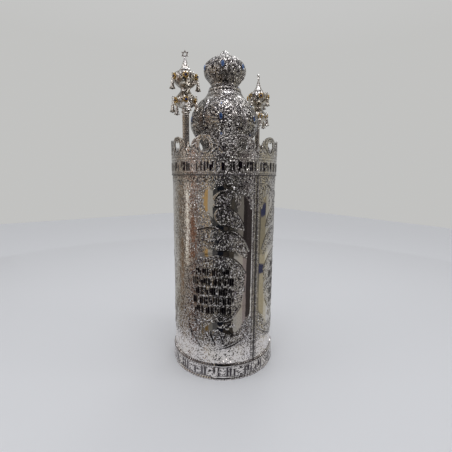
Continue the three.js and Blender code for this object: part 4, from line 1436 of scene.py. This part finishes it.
def flowerSetting(name, place):
    # ring of gilt petals round a cup, facing +Z, and its stone
    petals = [ball((2.5, 1.7, 1.2), (4.7, 0, 0.5), 10, 6) for _ in range(8)]
    for k, petal in enumerate(petals):
        petal.data.transform(rotation(45 * k, "Z"))
    cup = bezelRing("cup", 6.2, 6.2)
    cup.data.transform(shift(0, 0, 1.3))
    setting = joinPieces(name, petals + [cup])
    setting.data.transform(place)
    gem = cutOval(name + "_gem", 5.8, 5.8, 2.6, 10)
    gem.data.transform(place @ shift(0, 0, 1.2))
    return setting, gem


def bellSpot(node):
    # axis and foot of a bell's solid
    low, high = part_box(node)
    return Vector(((low.x + high.x) / 2, (low.y + high.y) / 2, low.z))


def makePegs(word, centre, drop):
    # bent wires that reach out of the bulbs to the bells
    pegs = []
    for tier, (up, bulb) in finial["pegs"].items():
        for k in range(1, 5):
            away = bellSpot(f"bell_{word}_{tier}_{k}") / mm - Vector((centre, 0, 0))
            away.z = 0
            far = away.length
            away.normalize()
            bend = [(bulb - 4, 0), (bulb - 0.5, 0.8), (bulb + 0.2, 4), (bulb + 1.4, 6.6),
                    (far, 7), (far + 1.2, 5), (far + 0.6, 3), (far - 0.6, 2.2)]
            points = [(centre + away.x * r, away.y * r, standAt + up - drop + rise) for r, rise in bend]
            pegs.append(wirePiece("peg", points, 0.7, 8))
    return pegs


def buildFinials():
    f = finial
    for word, side in halves.items():
        shaft, drop = f["shaft"][word], f["drop"][word]
        centre = side * f["fromAxis"]
        foot = [(0, 10.4), (0.8, 11), (4.6, 9.8), (6.4, 7.8), (8.6, shaft), (98, shaft), (99.4, shaft + 2.6),
                (102, shaft + 3), (103.6, shaft + 1), (106, shaft + 0.8)]
        profile = [(up if up < 50 else up - drop, out) for up, out in foot + f["bulbs"] + f["spire"][word]]
        curve = profileCurve(profile, f["pitchUp"], passes=2)
        field, azimuths = sectorField(curve, f["sectorAzimuth"], f["sectors"], f["columns"])
        chaseFinial(field, curve, drop)
        field["lift"] *= np.clip(curve["out"] / 6, 0, 1)[:, None]
        whole = joinFields([field] * f["sectors"])
        body = turnedPiece("turned_" + word, curve, azimuths, whole, x=centre, foot=standAt)
        star = triangleStar("star_" + word, f["starRadius"], 1.6)
        star.data.transform(rotation(side * f["starTurn"], "Z"))
        star.data.transform(shift(centre, 0, standAt + f["starUp"] - drop))
        rimon = joinPieces("rimon_" + word, [body, star] + makePegs(word, centre, drop))
        finishPiece(rimon, word + "_half", silverWarm, ["finial_" + word], angle=60)
        settings, gems = [], []
        for up in f["flowers"]:
            for k in range(f["sectors"]):
                place = outward(curve, f["sectorAzimuth"] + 60 * k, up - drop, 1.7, centre)
                setting, gem = flowerSetting(f"flower_{word}_{len(gems)}", place)
                settings.append(setting)
                gems.append(gem)
        finishPiece(joinPieces("flowers_" + word, settings), word + "_half", gilt, angle=50)
        gems = joinPieces("flower_gems_" + word, gems)
        finishPiece(gems, word + "_half", nightBlue, angle=5)
        print(rimon.name, len(rimon.data.polygons), "faces")


buildFinials()


# Bells, each hung by a ring and a hook from its peg, with a clapper

bell = {
    "profile": [             # height over the rim, radius, from the inside round the rim
        (17, 0), (16.4, 1.4), (13, 2.6), (8, 3.2), (4, 4.1), (1.4, 5.9), (0, 6.5), (0.1, 7.2), (0.9, 6.9),
        (2.2, 5.6),
        (4.4, 4.7), (8.4, 4.0), (13, 3.5), (17, 2.8), (18.6, 1.9), (19.2, 1.0), (20.4, 0.9), (20.8, 0),
    ],
    "sides": 20,
    "ringUp": 22.2,
    "hookFrom": 24.2,
    "hookTo": 29.4,
    "lift": 0.2,             # above the foot of its CAD solid
}


def makeBell():
    curve = profileCurve(bell["profile"], 0.8, passes=1)
    body = turnedPiece("bell_body", curve, np.radians(np.linspace(0, 360, bell["sides"] + 1)))
    ring = torus(2.0, 0.5, 16, 8)
    ring.data.transform(rotation(90, "X"))
    ring.data.transform(shift(0, 0, bell["ringUp"]))
    low, high = bell["hookFrom"], bell["hookTo"]
    bend = [(0.2, 0, low - 0.6), (1.2, 0, low - 0.8), (1.6, 0, low + 0.5), (0.5, 0, low + 1.9),
            (-0.5, 0, high - 1.9), (-1.6, 0, high - 0.5), (-1.2, 0, high + 0.7), (0.2, 0, high + 0.6)]
    hook = wirePiece("hook", bend, 0.5, 6)
    clapperWire = wirePiece("clapper_wire", [(0, 0, 16.6), (0, 0, 8), (0, 0, 0.5)], 0.4, 6)
    drop = ball((1.6, 1.6, 2.0), (0, 0, -0.2), 12, 8)
    whole = joinPieces("bell_pattern", [body, ring, hook, clapperWire, drop])
    # painted shade inside the bell, the clapper included, and dark in two lines round the outside
    x, y, up = readVerts(whole).T / mm
    within = np.hypot(x, y) - np.interp(up, [0, 2.2, 4.4, 8.4, 17], [7.1, 5.6, 4.7, 4.0, 2.8]) + 0.5
    shade = np.where((np.abs(up - 2.6) < 0.8) & (within > 0), 0.9, 0)
    shade = np.where((np.abs(up - 12.6) < 0.6) & (within > 0), 0.8, shade)
    writeValues(whole, "dark", np.where((up < 17.2) & (within < 0), 0.8, shade))
    writeValues(whole, "matte", np.full(len(up), 0.4))
    return whole


def buildBells():
    pattern = makeBell()
    for word in halves:
        for tier in finial["pegs"]:
            for k in range(4):
                node = f"bell_{word}_{tier}_{k + 1}"
                piece = pattern.copy()
                piece.data = pattern.data.copy()
                bpy.context.scene.collection.objects.link(piece)
                nameIt(piece, "hung_" + node)
                turn = rotation(47 * k + (20 if tier == "upper" else 0), "Z")
                piece.data.transform(Matrix.Translation(bellSpot(node)) @ shift(0, 0, bell["lift"]) @ turn)
                finishPiece(piece, word + "_half", silverWarm, [node], angle=50)
    bpy.data.objects.remove(pattern)
    print("bells hung")


buildBells()


# Stage

stage = {
    "floorSide": 6.0,
    "floorColour": (0.80, 0.81, 0.845, 1),
    "wallColour": (0.54, 0.54, 0.53, 1),
    "skyColour": (0.66, 0.665, 0.68, 1),
    "cardRadius": 1.6,
    "cardLow": -1.8,
    "cardMiddle": -0.08,
    "cardUpper": 0.44,
    "cardHigh": 1.15,
    "canopyMiddle": 2.4,
    "canopyHigh": 4.2,
    "standRadius": 0.26,
    "blueGlow": 0.07,
    "blueTint": (0.46, 0.52, 1.0),
}

# Cards round the case, seen only in its reflections: from and to in degrees from the camera, brightness
# of the top, of the upper and of the lower part, tint
cards = [
    (-180, -128, 0.34, 0.34, 0.40, (1.0, 1.0, 0.97)),
    (-128, -109, 0.28, 0.20, 0.24, (1.0, 0.93, 0.80)),
    (-109, -96, 0.20, 0.10, 0.15, (1.0, 0.70, 0.48)),
    (-96, -91, 0.12, 0.03, 0.10, (1.0, 0.80, 0.66)),
    (-91, -81, 0.75, 0.72, 0.32, (1.0, 0.96, 0.86)),
    (-81, -60, 0.26, 0.12, 0.09, (1.0, 0.56, 0.38)),
    (-60, -48, 0.40, 0.18, 0.12, (1.0, 0.98, 0.94)),
    (-48, -41, 0.38, 0.15, 0.10, (1.0, 0.92, 0.82)),
    (-41, -33, 0.44, 0.32, 0.11, (1.0, 0.66, 0.28)),
    (-33, -23, 0.60, 0.28, 0.12, (1.0, 0.97, 0.88)),
    (-23, -13, 0.02, 0.035, 0.06, (1.0, 1.0, 1.0)),
    (-13, 0, 0.007, 0.007, 0.008, (0.7, 0.85, 1.3)),
    (0, 8, 0.02, 0.035, 0.02, (1.0, 0.86, 0.74)),
    (8, 12, 0.015, 0.015, 0.015, (1.0, 0.9, 0.85)),
    (12, 22, 0.02, 0.045, 0.03, (1.0, 0.9, 0.74)),
    (22, 30, 0.03, 0.04, 0.27, (1.0, 0.97, 0.9)),
    (30, 42, 0.03, 0.13, 0.28, (1.0, 0.94, 0.84)),
    (42, 50, 0.05, 0.020, 0.20, (1.0, 0.86, 0.84)),
    (50, 62, 0.25, 0.03, 0.035, (1.0, 0.84, 0.84)),
    (62, 72, 0.4, 0.4, 0.6, (1.0, 1.0, 0.98)),
    (72, 80, 0.3, 0.05, 0.08, (1.0, 1.0, 1.0)),
    (80, 86, 0.2, 0.08, 0.12, (1.0, 0.92, 0.75)),
    (86, 104, 0.40, 0.19, 0.29, (1.0, 0.90, 0.64)),
    (104, 116, 0.35, 0.30, 0.40, (1.0, 0.97, 0.84)),
    (116, 180, 0.34, 0.34, 0.42, (1.0, 1.0, 0.98)),
]
# two small blue things in front of them: from and to in degrees, foot and top
bluePatches = [(86, 102, 0.2, 0.285), (81, 102, -0.22, -0.155)]
# the darker ceiling over them: from and to in degrees, brightness of the lower and of the upper part, tint
canopy = [
    (-180, -100, 0.30, 0.45, (1.0, 1.0, 0.97)),
    (-100, -60, 0.20, 0.35, (1.0, 0.94, 0.86)),
    (-60, 60, 0.14, 0.32, (1.0, 0.88, 0.92)),
    (60, 100, 0.22, 0.35, (1.0, 0.96, 0.88)),
    (100, 180, 0.30, 0.45, (1.0, 1.0, 0.97)),
]


def stagePiece(piece, material, inMirrorsOnly=True):
    piece.data.materials.append(material)
    if inMirrorsOnly:
        piece.visible_camera = False
        piece.visible_diffuse = False
        piece.visible_shadow = False


def glowMaterial(name, colour, level):
    material, tree = newMaterial(name)
    tree.nodes.remove(tree.nodes["Principled BSDF"])
    glow = addNode(tree, "ShaderNodeEmission", {"Color": (*colour, 1), "Strength": level})
    feed(tree, tree.nodes["Material Output"].inputs["Surface"], glow.outputs[0])
    return material


def makeFloor():
    deselectAll()
    bpy.ops.mesh.primitive_plane_add(size=stage["floorSide"], location=(0, 0, 0))
    floor = bpy.context.object
    floor.name = "stage_floor"
    floor.visible_glossy = False
    material, tree = newMaterial("stage_floor")
    setSurface(tree, {"Base Color": stage["floorColour"], "Roughness": 0.55})
    stagePiece(floor, material, inMirrorsOnly=False)
    # what the case reflects of the floor round it
    deselectAll()
    bpy.ops.mesh.primitive_circle_add(
        vertices=64, radius=stage["standRadius"], fill_type="NGON", location=(0, 0, -0.0004))
    disc = bpy.context.object
    disc.name = "stage_reflected_floor"
    stagePiece(disc, glowMaterial(disc.name, (0.97, 0.97, 1.0), 0.54))


def makeCards():
    s = stage
    tiers = []
    for left, right, top, upper, lower, tint in cards:
        tiers.append((left, right, s["cardUpper"], s["cardHigh"], top, tint, s["cardRadius"]))
        tiers.append((left, right, s["cardMiddle"], s["cardUpper"], upper, tint, s["cardRadius"]))
        tiers.append((left, right, s["cardLow"], s["cardMiddle"], lower, tint, s["cardRadius"]))
    for left, right, lower, upper, tint in canopy:
        tiers.append((left, right, s["cardHigh"], s["canopyMiddle"], lower, tint, s["cardRadius"]))
        tiers.append((left, right, s["canopyMiddle"], s["canopyHigh"], upper, tint, s["cardRadius"]))
    for left, right, low, high in bluePatches:
        tiers.append((left, right, low, high, s["blueGlow"], s["blueTint"], s["cardRadius"] - 0.05))
    for i, (left, right, low, high, level, tint, radius) in enumerate(tiers):
        def place(azimuth, up):
            x, y = onCase(azimuth, radius / mm)
            return x, y, up / mm
        steps = max(1, round((right - left) / 6))
        angles = np.radians(np.linspace(left, right, steps + 1) - view["turn"])
        card, _, _ = gridPiece(f"stage_card_{i}", angles, [low, high], place)
        stagePiece(card, glowMaterial(card.name, tint, level))


def makeWorld():
    world = bpy.data.worlds.new("studio")
    bpy.context.scene.world = world
    world.use_nodes = True
    tree = world.node_tree
    upward = addNode(tree, "ShaderNodeTexCoord").outputs["Generated"]
    height = addNode(tree, "ShaderNodeSeparateXYZ", {0: upward}).outputs[2]
    sky = blend(tree, stage["wallColour"], stage["skyColour"], remap(tree, height, 0.35, 0.9, 0, 1))
    feed(tree, tree.nodes["Background"].inputs["Color"], sky)


# Lights: soft boxes overhead and small bright ones for the sparkle. Turn is from the camera.
lamps = [
    {"name": "overhead", "turn": 20, "distance": 0.35, "height": 1.9, "size": 0.6, "power": 3.1},
    {"name": "left", "turn": -75, "distance": 1.3, "height": 1.5, "size": 0.7, "power": 2.0},
    {"name": "right", "turn": 80, "distance": 1.3, "height": 1.6, "size": 0.3, "power": 1.6},
    {"name": "spot_a", "turn": -25, "distance": 1.1, "height": 1.9, "size": 0.3, "power": 1.0},
    {"name": "spot_b", "turn": 30, "distance": 1.0, "height": 2.0, "size": 0.4, "power": 0.7},
    {"name": "behind", "turn": 165, "distance": 1.0, "height": 1.7, "size": 0.5, "power": 1.6},
]


def makeLights():
    for lamp in lamps:
        data = bpy.data.lights.new("lamp_" + lamp["name"], "AREA")
        data.shape = "DISK"
        data.size = lamp["size"]
        data.energy = lamp["power"]
        light = bpy.data.objects.new(data.name, data)
        turn = math.radians(lamp["turn"] - view["turn"])
        x, y = onCase(turn, lamp["distance"])
        light.location = (x, y, lamp["height"])
        aim = Vector((0, 0, 0.45)) - light.location
        light.rotation_euler = aim.to_track_quat("-Z", "Y").to_euler()
        light.visible_camera = False
        bpy.context.scene.collection.objects.link(light)

makeFloor()
makeCards()
makeWorld()
makeLights()
bpy.context.scene.view_settings.view_transform = "Standard"
print("stage and lights made")


# The CAD nodes that stay get their finish here
for name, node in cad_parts.items():
    if name.startswith(("floor", "roof", "hinge")):
        node.data.materials.clear()
        node.data.materials.append(brushed)
